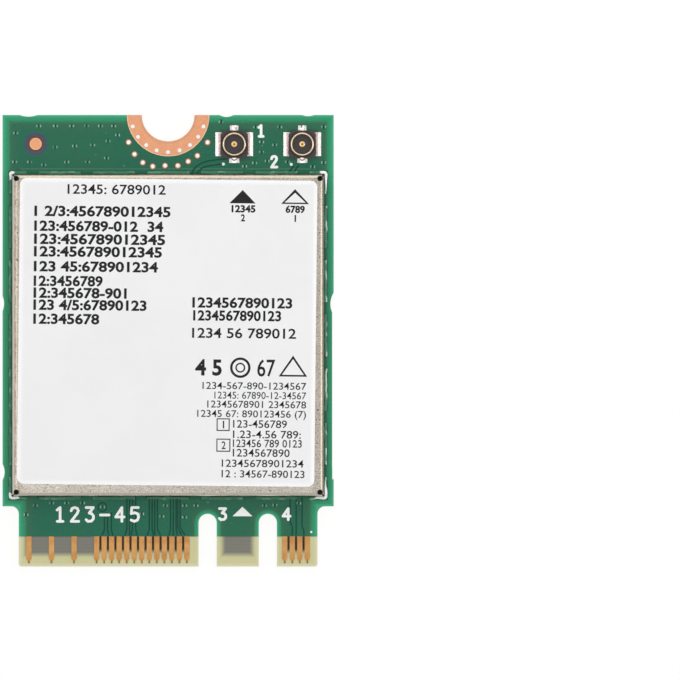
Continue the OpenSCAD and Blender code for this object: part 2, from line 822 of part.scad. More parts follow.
module crystal_base() {
    color("wheat") on_board(crystal_x, crystal_y)
        linear_extrude(crystal_base_h) square([crystal_w, crystal_l], center = true);
}

module crystal_lid() {
    color("lightgray") on_board(crystal_x, crystal_y) translate([0, 0, crystal_base_h])
        linear_extrude(crystal_lid_h)
            square([crystal_w - 2 * lid_margin, crystal_l - 2 * lid_margin], center = true);
}

// A moulded package with a round dimple by its first terminal
module moulded_package(w, l, h) {
    difference() {
        linear_extrude(h) square([w, l], center = true);
        translate([mark_dimple_in - w / 2, l / 2 - mark_dimple_in, h - mark_dimple_h])
            cylinder(r = mark_dimple_r, h = mark_dimple_h + cut);
    }
}

module front_end() {
    moulded_package(front_end_w, front_end_w, front_end_h);
}

module main_front_end() { color("darkslategray") on_board(main_front_end_x, front_end_y) front_end(); }
module aux_front_end() { color("darkslategray") on_board(aux_front_end_x, front_end_y) front_end(); }

// A fired ceramic block with a raised metal band at each end
module banded_block(l, w, h, band) {
    translate([0, 0, h / 2]) cube([l, w - 2 * end_cap_t, h - 2 * end_cap_t], center = true);
    mirrored_x() translate([l / 2 - band, -w / 2, 0]) cube([band, w, h]);
}

module main_antenna_filter() {
    color("lightsteelblue") on_board(main_front_end_x, filter_y)
        banded_block(filter_l, filter_w, filter_h, filter_band_w);
}

module aux_antenna_filter() {
    color("lightsteelblue") on_board(aux_front_end_x, filter_y)
        banded_block(filter_l, filter_w, filter_h, filter_band_w);
}

module memory_chip() {
    color("darkslategray") on_board(memory_x, memory_y)
        moulded_package(memory_w, memory_l, memory_h);
}

module inductor() {
    linear_extrude(inductor_h) difference() {
        square([inductor_w, inductor_l], center = true);
        for (x = [-1, 1], y = [-1, 1])
            translate([x * inductor_w / 2, y * inductor_l / 2]) rotate(45)
                square(inductor_corner * sqrt(2), center = true);
    }
}

module core_inductor() { color("slategray") on_board(inductor_x, core_inductor_y) inductor(); }
module radio_inductor() { color("slategray") on_board(inductor_x, radio_inductor_y) inductor(); }

module capacitors() {
    color("tan") translate([0, 0, board_t]) {
        at_bottom_row() banded_block(passive_l, passive_w, capacitor_h, end_cap_l);
        at_side_column(-1) banded_block(passive_l, passive_w, capacitor_h, end_cap_l);
    }
}

module resistors() {
    color("dimgray") translate([0, 0, board_t])
        at_side_column(1) banded_block(passive_l, passive_w, resistor_h, end_cap_l);
}

board_laminate();
solder_mask_top();
solder_mask_bottom();
ground_ring_top();
ground_pad_bottom();
notch_vias();
heat_vias();
contacts_top();
contacts_bottom();
alignment_mark();
can_lands();
can_solder();
shield_can();
label();
coax_lands();
main_coax_insulator();
main_coax_ring();
main_coax_pin();
aux_coax_insulator();
aux_coax_ring();
aux_coax_pin();
component_lands();
radio_chip();
radio_chip_terminals();
crystal_base();
crystal_lid();
main_front_end();
aux_front_end();
main_antenna_filter();
aux_antenna_filter();
memory_chip();
core_inductor();
radio_inductor();
capacitors();
resistors();
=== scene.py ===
import math

import bpy
from mathutils import Matrix, Vector


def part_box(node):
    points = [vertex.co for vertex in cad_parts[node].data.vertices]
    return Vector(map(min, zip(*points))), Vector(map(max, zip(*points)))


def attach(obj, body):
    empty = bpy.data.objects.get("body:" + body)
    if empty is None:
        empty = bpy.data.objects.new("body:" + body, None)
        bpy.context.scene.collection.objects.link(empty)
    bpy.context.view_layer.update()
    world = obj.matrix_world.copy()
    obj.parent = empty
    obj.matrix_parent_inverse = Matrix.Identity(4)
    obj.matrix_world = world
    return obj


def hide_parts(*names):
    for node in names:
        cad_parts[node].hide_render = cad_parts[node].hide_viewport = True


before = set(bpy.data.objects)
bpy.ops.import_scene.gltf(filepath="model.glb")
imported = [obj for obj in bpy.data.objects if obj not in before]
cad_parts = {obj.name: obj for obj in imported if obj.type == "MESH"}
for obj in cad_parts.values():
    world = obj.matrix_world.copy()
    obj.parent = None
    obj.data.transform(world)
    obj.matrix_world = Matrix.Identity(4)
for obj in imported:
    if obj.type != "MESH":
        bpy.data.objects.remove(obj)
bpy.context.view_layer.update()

MM = 0.001


# The photograph's place: one card lies component side up on a white table, under a camera that
# looks straight down from far away. White boards stand round it and four soft lamps light it:
# one over the camera, one high at the left, one at the right and a wide one behind the notch end.
def tint(red, green, blue):
    """A colour in everyday 0-255 values, as the linear values that a shader takes."""
    def linear(value):
        value /= 255
        return value / 12.92 if value <= 0.04045 else ((value + 0.055) / 1.055) ** 2.4
    return linear(red), linear(green), linear(blue), 1.0


def put(tree, kind, out=0, feeds=None, **settings):
    """Add a node, set it up, feed its inputs with numbers, colours or sockets, and give an output."""
    made = tree.nodes.new("ShaderNode" + kind)
    for name, value in settings.items():
        setattr(made, name, value)
    for name, value in (feeds or {}).items():
        if isinstance(value, bpy.types.NodeSocket):
            tree.links.new(value, made.inputs[name])
        else:
            made.inputs[name].default_value = value
    return made.outputs[out]


def calc(tree, operation, first, second=0.0, third=0.0):
    return put(tree, "Math", 0, {0: first, 1: second, 2: third}, operation=operation)


def times(tree, first, second):
    return calc(tree, "MULTIPLY", first, second)


def plus(tree, first, second):
    return calc(tree, "ADD", first, second)


def minus(tree, first, second):
    return calc(tree, "SUBTRACT", first, second)


def larger(tree, first, second):
    return calc(tree, "MAXIMUM", first, second)


def axis(tree, place, letter):
    return put(tree, "SeparateXYZ", letter, {0: place})


def ramp(tree, value, low, high, at_low=0.0, at_high=1.0):
    """A soft step from at_low to at_high while the value goes from low to high."""
    return put(tree, "MapRange", 0, {0: value, 1: low, 2: high, 3: at_low, 4: at_high},
               interpolation_type="SMOOTHSTEP")


camera_data = bpy.data.cameras.new("copy_stand_camera")
camera_data.type = "ORTHO"
camera_data.ortho_scale = 45.18 * MM
camera_data.clip_start = 1 * MM
camera_data.clip_end = 10
camera = bpy.data.objects.new("copy_stand_camera", camera_data)
camera.location = (11.42 * MM, 0.05 * MM, 150 * MM)
bpy.context.collection.objects.link(camera)
bpy.context.scene.camera = camera
bpy.context.scene.view_settings.view_transform = "Standard"

room = bpy.data.worlds.new("white_room")
room.use_nodes = True
room_tree = room.node_tree
sight = room_tree.nodes.new("ShaderNodeLightPath").outputs
towards_notch = axis(room_tree, put(room_tree, "TexCoord", "Generated"), "Y")
board_white = ramp(room_tree, towards_notch, -0.75, -0.05, 0.54, 0.66)
strength = times(room_tree, sight["Is Glossy Ray"], board_white)
strength = plus(room_tree, strength, times(room_tree, sight["Is Diffuse Ray"], 0.5))
for clear_ray in ("Is Camera Ray", "Is Transmission Ray"):
    strength = plus(room_tree, strength, sight[clear_ray])
sky = room_tree.nodes["Background"]
sky.inputs["Color"].default_value = (1, 1, 1, 1)
room_tree.links.new(strength, sky.inputs["Strength"])
bpy.context.scene.world = room

for lamp_name, place, size, watts in (
        ("lamp_over_camera", (0.02, 0.02, 0.42), (0.30, 0.30), 0.38),
        ("lamp_left", (-0.10, 0.0, 0.25), (0.04, 0.25), 0.075),
        ("lamp_right", (0.19, 0.0, 0.16), (0.05, 0.25), 0.10),
        ("lamp_behind_notch", (0.0, 0.20, 0.17), (0.25, 0.18), 0.14)):
    lamp_data = bpy.data.lights.new(lamp_name, "AREA")
    lamp_data.shape = "RECTANGLE"
    lamp_data.size, lamp_data.size_y = size
    lamp_data.energy = watts
    lamp = bpy.data.objects.new(lamp_name, lamp_data)
    lamp.matrix_world = (Matrix.Translation(place)
                         @ Vector(place).to_track_quat("Z", "Y").to_matrix().to_4x4())
    lamp.visible_glossy = lamp_name != "lamp_over_camera"
    bpy.context.collection.objects.link(lamp)

bpy.ops.object.select_all(action="DESELECT")
bpy.ops.mesh.primitive_plane_add(size=1.2, location=(0, 0, -0.02 * MM))
table_top = bpy.context.active_object
table_top.name = "table_top"
table_paint = bpy.data.materials.new("white_table")
table_paint.use_nodes = True
table_tree = table_paint.node_tree
table_tree.nodes.remove(table_tree.nodes["Principled BSDF"])
table_sight = table_tree.nodes.new("ShaderNodeLightPath").outputs
seen = larger(table_tree, table_sight["Is Camera Ray"], table_sight["Is Glossy Ray"])
seen = times(table_tree, larger(table_tree, seen, table_sight["Is Transmission Ray"]), 0.88)
flat = put(table_tree, "BsdfDiffuse", 0, {"Color": (0.97, 0.97, 0.97, 1)})
glow = put(table_tree, "Emission", 0, {"Color": (1, 1, 1, 1), "Strength": 1.02})
table_tree.links.new(put(table_tree, "MixShader", 0, {0: seen, 1: flat, 2: glow}),
                     table_tree.nodes["Material Output"].inputs["Surface"])
table_top.data.materials.append(table_paint)


# Bare board: pressed sheets of woven glass in pale epoxy, routed and broken out of its panel.
# It shows at the contact tongue, where an inner copper plane looks grey through it, and along
# the edges, where its layers lie one on the other.
def new_group(name, takes, gives):
    """A node group with named inputs and outputs; takes gives each input's kind and usual value."""
    made = bpy.data.node_groups.new(name, "ShaderNodeTree")
    for label, (kind, usual) in takes.items():
        socket = made.interface.new_socket(label, in_out="INPUT", socket_type="NodeSocket" + kind)
        if usual is not None:
            socket.default_value = usual
    for label in gives:
        made.interface.new_socket(label, in_out="OUTPUT", socket_type="NodeSocketFloat")
    return made, made.nodes.new("NodeGroupInput").outputs, made.nodes.new("NodeGroupOutput").inputs


def new_finish(name, **plain):
    """A material with one Principled shader; gives it, its tree and the place on the card in mm."""
    made = bpy.data.materials.new(name)
    made.use_nodes = True
    tree = made.node_tree
    shader = tree.nodes["Principled BSDF"]
    for label, value in plain.items():
        shader.inputs[label.replace("_", " ")].default_value = value
    place = put(tree, "VectorMath", 0, {0: put(tree, "TexCoord", "Object"), "Scale": 1 / MM},
                operation="SCALE")
    return made, tree, place


def feed(tree, **sockets):
    """Link sockets to the Principled shader; Height goes through a Bump node, Rise metres high."""
    shader = tree.nodes["Principled BSDF"]
    rise = sockets.pop("Rise", 0.01 * MM)
    if "Height" in sockets:
        sockets["Normal"] = put(tree, "Bump", 0, {"Height": sockets.pop("Height"),
                                                  "Strength": 1.0, "Distance": rise})
    for label, socket in sockets.items():
        tree.links.new(socket, shader.inputs[label.replace("_", " ")])


def dress(finish, *nodes):
    """Give CAD nodes their finish."""
    for node in nodes:
        for slot in bpy.data.objects[node].material_slots:
            slot.material = finish


def span(node):
    """The lowest and highest corners of a CAD node, in mm."""
    return [tuple(round(value / MM, 3) for value in corner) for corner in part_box(node)]


def middle_of(node):
    low, high = span(node)
    return (low[0] + high[0]) / 2, (low[1] + high[1]) / 2


def smaller(tree, first, second):
    return calc(tree, "MINIMUM", first, second)


def mix(tree, share, first, second, how="MIX"):
    return put(tree, "Mix", 2, {0: share, 6: first, 7: second}, data_type="RGBA", blend_type=how)


def wash(tree, under, over, mask, strength):
    """One colour laid over another where the mask is white, as dense as the strength says."""
    return mix(tree, times(tree, mask, strength), under, over)


def use(tree, group, out, **feeds):
    return put(tree, "Group", out, {label.replace("_", " "): value for label, value in feeds.items()},
               node_tree=group)


def spread(tree, cloud, at_low=0.0, at_high=1.0):
    """A grain, which seldom leaves 0.3 to 0.7, spread over everything between two values."""
    return ramp(tree, cloud, 0.3, 0.7, at_low, at_high)


# Cloudy unevenness, with patches about Size across
grain_group, given, out = new_group(
    "grain", {"Place": ("Vector", None), "Size": ("Float", 1.0), "Detail": ("Float", 3.0)}, ["Value"])
cloud = put(grain_group, "TexNoise", "Fac",
            {"Vector": given["Place"], "Scale": calc(grain_group, "DIVIDE", 1.0, given["Size"]),
             "Detail": given["Detail"], "Roughness": 0.55})
grain_group.links.new(cloud, out["Value"])

# Dots of many sizes, up to Share of the distance between them
speck_group, given, out = new_group(
    "specks", {"Place": ("Vector", None), "Size": ("Float", 0.2), "Share": ("Float", 0.4)}, ["Mask"])
off_middle = put(speck_group, "TexVoronoi", "Distance",
                 {"Vector": given["Place"], "Scale": calc(speck_group, "DIVIDE", 1.0, given["Size"])})
luck = put(speck_group, "SeparateColor", 0, {0: off_middle.node.outputs["Color"]})
reach = times(speck_group, calc(speck_group, "POWER", luck, 2.0), given["Share"])
ragged = put(speck_group, "TexNoise", "Fac",
             {"Vector": given["Place"], "Scale": calc(speck_group, "DIVIDE", 3.0, given["Size"])})
off_middle = times(speck_group, off_middle, spread(speck_group, ragged, 0.5, 1.7))
speck_group.links.new(ramp(speck_group, minus(speck_group, off_middle, reach), 0.06, -0.04), out["Mask"])

# A soft-edged rectangle on the card's face
patch_group, given, out = new_group(
    "patch", {"Place": ("Vector", None), "X": ("Float", 0.0), "Y": ("Float", 0.0),
              "Width": ("Float", 1.0), "Length": ("Float", 1.0), "Blur": ("Float", 0.1)}, ["Mask"])
inside = []
for letter, size in (("X", "Width"), ("Y", "Length")):
    off = minus(patch_group, axis(patch_group, given["Place"], letter), given[letter])
    room_left = minus(patch_group, times(patch_group, given[size], 0.5), calc(patch_group, "ABSOLUTE", off))
    inside.append(calc(patch_group, "DIVIDE", room_left, given["Blur"]))
depth = plus(patch_group, smaller(patch_group, *inside), 0.5)
patch_group.links.new(ramp(patch_group, depth, 0.0, 1.0), out["Mask"])

# Distance from a round feature's middle, over the card's face
round_group, given, out = new_group(
    "round", {"Place": ("Vector", None), "X": ("Float", 0.0), "Y": ("Float", 0.0)}, ["Distance"])
flattened = put(round_group, "VectorMath", 0, {0: given["Place"], 1: (1, 1, 0)}, operation="MULTIPLY")
middle = put(round_group, "CombineXYZ", 0, {"X": given["X"], "Y": given["Y"]})
round_group.links.new(
    put(round_group, "VectorMath", 1, {0: flattened, 1: middle}, operation="DISTANCE"), out["Distance"])

# Distance in from the board's nearest edge, which grows faster beside the two key notches
(_, CONTACT_END, _), (BOARD_SIDE, NOTCH_END, _) = span("board_laminate")
TONGUE_SIDE, SHOULDER = 9.925, -11.0
KEY_NOTCHES, KEY_NOTCH_BOTTOM, KEY_NOTCH_RADIUS = (2.625, 6.625), -12.1, 0.6


def hypotenuse(tree, across, up):
    return calc(tree, "SQRT", plus(tree, times(tree, across, across), times(tree, up, up)))


edge_group, given, out = new_group("edge_distance", {"Place": ("Vector", None)}, ["Distance"])
board_x, board_y = (axis(edge_group, given["Place"], letter) for letter in "XY")
across = calc(edge_group, "ABSOLUTE", board_x)
body = smaller(edge_group, minus(edge_group, BOARD_SIDE, across), minus(edge_group, board_y, SHOULDER))
tongue = smaller(edge_group, minus(edge_group, TONGUE_SIDE, across),
                 minus(edge_group, board_y, CONTACT_END))
reach = smaller(edge_group, larger(edge_group, body, tongue), minus(edge_group, NOTCH_END, board_y))
past_bottom = larger(edge_group, minus(edge_group, board_y, KEY_NOTCH_BOTTOM), 0.0)
for notch_x in KEY_NOTCHES:
    off = hypotenuse(edge_group, minus(edge_group, board_x, notch_x), past_bottom)
    reach = smaller(edge_group, reach, times(edge_group, minus(edge_group, off, KEY_NOTCH_RADIUS), 1.7))
edge_group.links.new(reach, out["Distance"])


def grain(tree, place, size, detail=3.0):
    return use(tree, grain_group, "Value", Place=place, Size=size, Detail=detail)


def specks(tree, place, size, share):
    return use(tree, speck_group, "Mask", Place=place, Size=size, Share=share)


def off_round(tree, place, *middles):
    """Distance from the nearest of some round features, each given by its middle."""
    nearest = None
    for x, y in middles:
        off = use(tree, round_group, "Distance", Place=place, X=x, Y=y)
        nearest = off if nearest is None else smaller(tree, nearest, off)
    return nearest


def patches(tree, place, spots, blur):
    """One mask for several rectangles, each with its middle, width and length."""
    whole = 0.0
    for x, y, width, length in spots:
        spot = use(tree, patch_group, "Mask", Place=place, X=x, Y=y, Width=width, Length=length,
                   Blur=blur)
        whole = larger(tree, whole, spot)
    return whole


def facing(tree):
    """How far a face looks up: 1 for straight up, 0 for sideways and -1 for down."""
    return axis(tree, put(tree, "NewGeometry", "Normal"), "Z")


def wave(tree, place, direction, scale, distortion, detail):
    return put(tree, "TexWave", "Fac",
               {"Vector": place, "Scale": scale, "Distortion": distortion, "Detail": detail},
               wave_type="BANDS", bands_direction=direction)


MARK, CAN_MIDDLE = middle_of("alignment_mark"), middle_of("shield_can")
BOARD_MIDDLE, PLANE_OFF_MIDDLE = 0.4, 0.13
laminate_finish, tree, place = new_finish("glass_laminate", Roughness=0.5, Specular_IOR_Level=0.35,
                                          Subsurface_Weight=0.15, Subsurface_Scale=0.3 * MM)
height = axis(tree, place, "Z")
above = ramp(tree, height, 0.5, 0.6)
weft = wave(tree, place, "Y", 1.3, 0.5, 1.0)
weave = times(tree, plus(tree, wave(tree, place, "X", 1.1, 0.6, 1.0), weft), 0.5)
cloud = grain(tree, place, 1.8)
epoxy = wash(tree, tint(206, 203, 156), tint(216, 212, 172), weave, 0.3)
epoxy = wash(tree, epoxy, tint(198, 198, 144), cloud, 0.5)
from_edge = use(tree, edge_group, "Distance", Place=place)
# Paler within 0.3 mm of the cut edges: painted light along the edges.
epoxy = mix(tree, ramp(tree, from_edge, 0.3, 0.0, 0.0, 0.5), epoxy, tint(226, 226, 196))
grey_top = patches(tree, place, [(-7.1, -13.48, 4.8, 1.5), (4.62, -13.48, 2.0, 1.5)], 0.46)
# The near-black patches between the contacts are painted shade in the gaps between them, fading out towards
# the tip.
finger_gap_shade_top = patches(tree, place, [(-1.75, -13.5, 6.0, 1.5), (8.5, -13.5, 1.46, 1.5)], 0.1)
grey_low = patches(tree, place, [(-3.8, -13.28, 11.0, 1.9), (4.4, -13.28, 1.2, 1.9)], 0.46)
finger_gap_shade_low = patches(tree, place, [(-3.67, -13.25, 1.5, 1.6), (-8.68, -13.25, 0.52, 1.6),
                                 (5.37, -13.25, 0.5, 1.6), (8.63, -13.25, 1.0, 1.6)], 0.1)
below = minus(tree, 1.0, above)
grey = plus(tree, times(tree, grey_top, above), times(tree, grey_low, below))
dark = plus(tree, times(tree, finger_gap_shade_top, above), times(tree, finger_gap_shade_low, below))
down = axis(tree, place, "Y")
dark = times(tree, dark, ramp(tree, down, -14.2, -13.8, 0.1, 1.0))
skin = mix(tree, grey, epoxy, wash(tree, tint(121, 120, 111), tint(136, 133, 122), weft, 0.35))
skin = mix(tree, dark, skin, tint(44, 28, 12))
# Laminate in the gaps round the lands is painted mask green, and a darker olive beside the can as painted
# shade.
under_mask_gap = ramp(tree, down, -12.3, -12.1)
beside_can_shade = patches(tree, place, [(*CAN_MIDDLE, 21.6, 22.3)], 0.1)
skin = mix(tree, under_mask_gap, skin, mix(tree, beside_can_shade, tint(40, 78, 54), tint(44, 122, 92)))
from_mark = off_round(tree, place, MARK)
moat = mix(tree, ramp(tree, from_mark, 0.48, 0.62), tint(104, 62, 56), tint(66, 84, 98))
skin = mix(tree, times(tree, ramp(tree, from_mark, 1.0, 0.8), above), skin, moat)
cut_edge = mix(tree, wave(tree, place, "Z", 2.6, 0.4, 2.0), tint(196, 186, 132), tint(222, 214, 168))
off_middle = calc(tree, "ABSOLUTE", minus(tree, height, BOARD_MIDDLE))
off_plane = calc(tree, "ABSOLUTE", minus(tree, off_middle, PLANE_OFF_MIDDLE))
inner_copper = ramp(tree, off_plane, 0.022, 0.010)
cut_edge = wash(tree, cut_edge, tint(168, 112, 66), inner_copper, 0.45)
face_on = ramp(tree, calc(tree, "ABSOLUTE", facing(tree)), 0.4, 0.6)
feed(tree, Base_Color=mix(tree, face_on, cut_edge, skin), Roughness=spread(tree, cloud, 0.42, 0.6),
     Height=plus(tree, weave, times(tree, cloud, 0.5)), Rise=0.004 * MM)
dress(laminate_finish, "board_laminate")


# Green solder mask on the component side: a thin glossy skin of epoxy over the copper and the
# laminate. It looks lighter and bluer along the edges, where no copper lies under it, and it is
# open over the ring at the notch, the alignment mark and every land.
NOTCH_MIDDLE = (0.0, NOTCH_END)
TINNED_DOTS = [(out * math.sin(math.radians(turn)), NOTCH_END - out * math.cos(math.radians(turn)))
               for turn, out in ((-55.4, 3.19), (-40.6, 3.43), (-28, 3.58), (-16.7, 3.56), (-3.5, 3.37),
                                 (10.9, 3.43), (23.4, 3.36), (35.7, 3.33), (55.3, 3.19))]


def mask_rings_and_shadow(tree, place):
    """Darker rings on the mask: painted shadow round the two receptacle housings, and rings round the tinned
    dots and the alignment mark where the mask is thin or scorched; for each kind how far off it is, how
    wide, what colour.
    """
    housing_shadow = patches(tree, place, [(4.42, 13.03, 1.96, 1.96), (8.94, 13.03, 1.96, 1.96)], 0.24)
    return [(minus(tree, 1.0, housing_shadow), 0.95, tint(36, 88, 66)),
            (off_round(tree, place, *TINNED_DOTS), 0.34, tint(84, 84, 56)),
            (off_round(tree, place, MARK), 0.88, tint(60, 84, 98))]


def mask_finish(name, greens, bare_patches=(), highlight_patches=(), halos=None):
    """Solder mask; bare_patches have no copper under them, and the pale patches are painted highlights."""
    made, tree, place = new_finish(name, Specular_IOR_Level=0.28, IOR=1.5)
    from_edge = use(tree, edge_group, "Distance", Place=place)
    drift = grain(tree, place, 5.0, 2.0)
    fine = grain(tree, place, 0.16)
    green = mix(tree, spread(tree, drift), *greens)
    green = wash(tree, green, tint(56, 102, 72), ramp(tree, from_edge, 1.3, 0.45), 0.5)
    small = [spot for spot in bare_patches if spot[2] < 2]
    wide = [spot for spot in bare_patches if spot[2] >= 2]
    rims = [(x, y, width + 0.34, length + 0.34) for x, y, width, length in small]
    green = wash(tree, green, tint(58, 106, 74), patches(tree, place, rims, 0.3), 0.45)
    green = mix(tree, patches(tree, place, wide, 0.16), green, tint(0, 100, 76))
    green = mix(tree, patches(tree, place, small, 0.16), green, tint(0, 90, 68))
    # The pale patches are painted highlights.
    green = wash(tree, green, tint(84, 140, 108), patches(tree, place, highlight_patches, 0.1), 0.6)
    # The rim is the mask's own colour where no copper lies under it; the lighter tone at the very edge is
    # painted light along the board's edge.
    rim = mix(tree, ramp(tree, from_edge, 0.0, 0.25), tint(66, 172, 128), tint(36, 146, 103))
    green = mix(tree, ramp(tree, from_edge, 0.62, 0.26), green, rim)
    mottle = mix(tree, fine, (0.25, 0.25, 0.25, 1), (0.75, 0.75, 0.75, 1))
    green = mix(tree, 0.22, green, mottle, "OVERLAY")
    lint = specks(tree, place, 0.9, 0.045)
    green = wash(tree, green, tint(120, 168, 140), lint, 0.5)
    for distance, wide_as, ring_tone in halos(tree, place) if halos else ():
        # Each ring darkens the mask; round the housings this is painted shadow.
        green = mix(tree, ramp(tree, distance, wide_as, wide_as - 0.18, 0.0, 0.85), green, ring_tone)
    step = ramp(tree, from_edge, 0.36, 0.46)
    feed(tree, Base_Color=green, Roughness=spread(tree, fine, 0.26, 0.4),
         Height=plus(tree, step, times(tree, fine, 0.22)), Rise=0.012 * MM)
    return made


# The thin pale line along the can's top edge is a painted highlight.
dress(mask_finish("solder_mask_component_side", (tint(6, 100, 75), tint(24, 101, 71)),
                  highlight_patches=[(0.0, 11.42, 19.6, 0.06)], halos=mask_rings_and_shadow), "solder_mask_top")


# Solder mask on the underside. It is drawn 4 micrometres thinner than the solid that it
# replaces, so that the silk-screen print and the tracks on it stay within the card's depth.
def only(piece):
    """Select one piece alone and make it the active one."""
    bpy.ops.object.select_all(action="DESELECT")
    piece.select_set(True)
    bpy.context.view_layer.objects.active = piece


def copy_of(piece):
    """A copy of a piece, with a mesh of its own."""
    made = piece.copy()
    made.data = piece.data.copy()
    bpy.context.collection.objects.link(made)
    return made


def weld(piece, near=0.0005 * MM):
    """Make one corner of those that lie on each other."""
    only(piece)
    bpy.ops.object.mode_set(mode="EDIT")
    bpy.ops.mesh.select_all(action="SELECT")
    bpy.ops.mesh.remove_doubles(threshold=near)
    bpy.ops.object.mode_set(mode="OBJECT")


def settle(piece, name, finish):
    """Name a finished piece, put its place into its mesh, and let it ride on the card."""
    only(piece)
    bpy.ops.object.transform_apply(location=True, rotation=True, scale=True)
    piece.name = piece.data.name = name
    piece.data.materials.clear()
    piece.data.materials.append(finish)
    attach(piece, "root")


PRINT = 0.004 * MM
under_mask = copy_of(bpy.data.objects["solder_mask_bottom"])
weld(under_mask)
for corner in under_mask.data.vertices:
    if corner.co.z < 0.5 * PRINT:
        corner.co.z = PRINT
mask_under_finish = mask_finish(
    "solder_mask_underside", (tint(0, 98, 71), tint(12, 100, 69)),
    [(8.8, 13.14, 1.3, 1.54), (4.3, 13.1, 1.46, 1.52), (6.85, -8.9, 2.8, 7.1), (-2.6, -8.8, 3.6, 7.6),
     (6.9, -11.6, 3.0, 1.8)])
settle(under_mask, "solder_mask_underside", mask_under_finish)
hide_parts("solder_mask_bottom")


# Copper ring and pad round the screw notch, and the round alignment mark: bare copper, etched
# and then dipped against tarnish. The cut along the notch is bright, with a dull line inside it.
def copper_finish(name, base, rim, rim_from, rim_to):
    """Bare copper; the rim colour shows between two distances from the notch's middle."""
    made, tree, place = new_finish(name, Metallic=0.55, Specular_IOR_Level=0.4)
    away = off_round(tree, place, NOTCH_MIDDLE)
    blotch = grain(tree, place, 0.5)
    fleck = specks(tree, place, 0.12, 0.75)
    metal = mix(tree, spread(tree, blotch), base, tint(236, 170, 128))
    metal = wash(tree, metal, tint(214, 132, 84), fleck, 0.22)
    inner = times(tree, ramp(tree, away, 1.77, 1.82), ramp(tree, away, 1.95, 1.88))
    metal = wash(tree, metal, tint(188, 146, 120), inner, 0.35)
    outer = times(tree, ramp(tree, away, rim_from, rim_from + 0.05),
                  ramp(tree, away, rim_to, rim_to - 0.02))
    metal = mix(tree, outer, metal, rim)
    feed(tree, Base_Color=metal, Roughness=spread(tree, blotch, 0.36, 0.5),
         Height=plus(tree, blotch, times(tree, fleck, -0.5)), Rise=0.004 * MM)
    return made


dress(copper_finish("notch_copper", tint(228, 160, 122), tint(240, 214, 178), 2.68, 2.8),
      "ground_ring_top")
dress(copper_finish("underside_copper", tint(228, 160, 118), tint(236, 190, 152), 9.0, 9.5),
      "ground_pad_bottom")

mark_finish, tree, place = new_finish("mark_copper", Metallic=0.5, Roughness=0.42)
away = off_round(tree, place, MARK)
blotch = grain(tree, place, 0.2)
metal = mix(tree, blotch, tint(226, 152, 108), tint(240, 176, 128))
metal = mix(tree, ramp(tree, away, 0.33, 0.38), metal, tint(240, 196, 164))
feed(tree, Base_Color=metal, Height=blotch, Rise=0.004 * MM)
dress(mark_finish, "alignment_mark")


# Plated holes round the notch. The nine in the ring are open copper barrels, and the nine
# beside it are filled and capped with tinned dots. Those under the radio chip are bare copper.
hole_finish, tree, place = new_finish("hole_plating", Metallic=0.7, Roughness=0.36)
away = off_round(tree, place, NOTCH_MIDDLE)
blotch = grain(tree, place, 0.12)
barrel = mix(tree, blotch, tint(206, 132, 92), tint(236, 186, 158))
off_dot = off_round(tree, place, *TINNED_DOTS)
dot = mix(tree, ramp(tree, off_dot, 0.17, 0.07), tint(176, 138, 110), tint(255, 251, 244))
capped = times(tree, ramp(tree, away, 2.72, 2.8), ramp(tree, axis(tree, place, "Z"), 0.051, 0.056))
feed(tree, Base_Color=mix(tree, capped, barrel, dot), Roughness=spread(tree, blotch, 0.3, 0.45),
     Height=blotch, Rise=0.004 * MM)
dress(hole_finish, "notch_vias")

heat_finish, tree, place = new_finish("heat_hole_copper", Metallic=0.6)
blotch = grain(tree, place, 0.09)
flat_on = calc(tree, "ABSOLUTE", facing(tree))
copper = mix(tree, blotch, tint(206, 162, 134), tint(236, 210, 190))
# The holes' walls, which stand on edge, are painted near-black: painted shade inside the holes.
feed(tree, Base_Color=mix(tree, ramp(tree, flat_on, 0.3, 0.7), tint(36, 16, 12), copper),
     Roughness=spread(tree, blotch, 0.32, 0.48), Height=blotch, Rise=0.004 * MM)
dress(heat_finish, "heat_vias")


# Edge contacts: etched copper with a hard gold skin, worn a little along the middle by the socket's springs,
# and browner at the tip, where the plating is thin.
def drawn_out(tree, place, x, y):
    """The place squeezed to shares x and y, so that a grain looks drawn out the other way."""
    return put(tree, "VectorMath", 0, {0: place, 1: (x, y, 1.0)}, operation="MULTIPLY")


contact_finish, tree, place = new_finish("hard_gold", Metallic=0.72, Specular_IOR_Level=0.45)
scratch = grain(tree, drawn_out(tree, place, 1.0, 0.12), 0.035, 2.0)
blotch = grain(tree, place, 0.6)
along = axis(tree, place, "Y")
gold = mix(tree, spread(tree, blotch), tint(186, 130, 72), tint(202, 148, 88))
gold = wash(tree, gold, tint(222, 178, 120), ramp(tree, scratch, 0.45, 0.8), 0.5)
worn = times(tree, ramp(tree, along, -14.2, -13.9), ramp(tree, along, -13.3, -13.6))
gold = wash(tree, gold, tint(218, 172, 108), worn, 0.3)
gold = mix(tree, ramp(tree, along, -14.5, -14.74), gold, tint(150, 92, 44))
feed(tree, Base_Color=gold, Roughness=spread(tree, scratch, 0.3, 0.48), Height=plus(tree, scratch, blotch),
     Rise=0.003 * MM)
dress(contact_finish, "contacts_top", "contacts_bottom")


# Tinned lands: copper dipped in solder and blown level, which takes the receptacles and the small
# parts. The tin is bright where it was smooth and frosty where it set slowly.
tin_finish, tree, place = new_finish("solder_tin", Metallic=0.75)
blotch = grain(tree, place, 0.35)
frost = grain(tree, place, 0.05, 4.0)
metal = mix(tree, ramp(tree, blotch, 0.35, 0.65), tint(190, 188, 184), tint(240, 240, 236))
metal = wash(tree, metal, tint(168, 166, 160), ramp(tree, frost, 0.55, 0.75), 0.15)
# Faces that look down are painted near-black: painted shade.
metal = mix(tree, ramp(tree, facing(tree), -0.4, -0.6), metal, tint(24, 10, 8))
feed(tree, Base_Color=metal, Roughness=spread(tree, blotch, 0.26, 0.42),
     Height=plus(tree, times(tree, frost, 0.3), blotch), Rise=0.006 * MM)
dress(tin_finish, "coax_lands", "component_lands", "radio_chip_terminals")
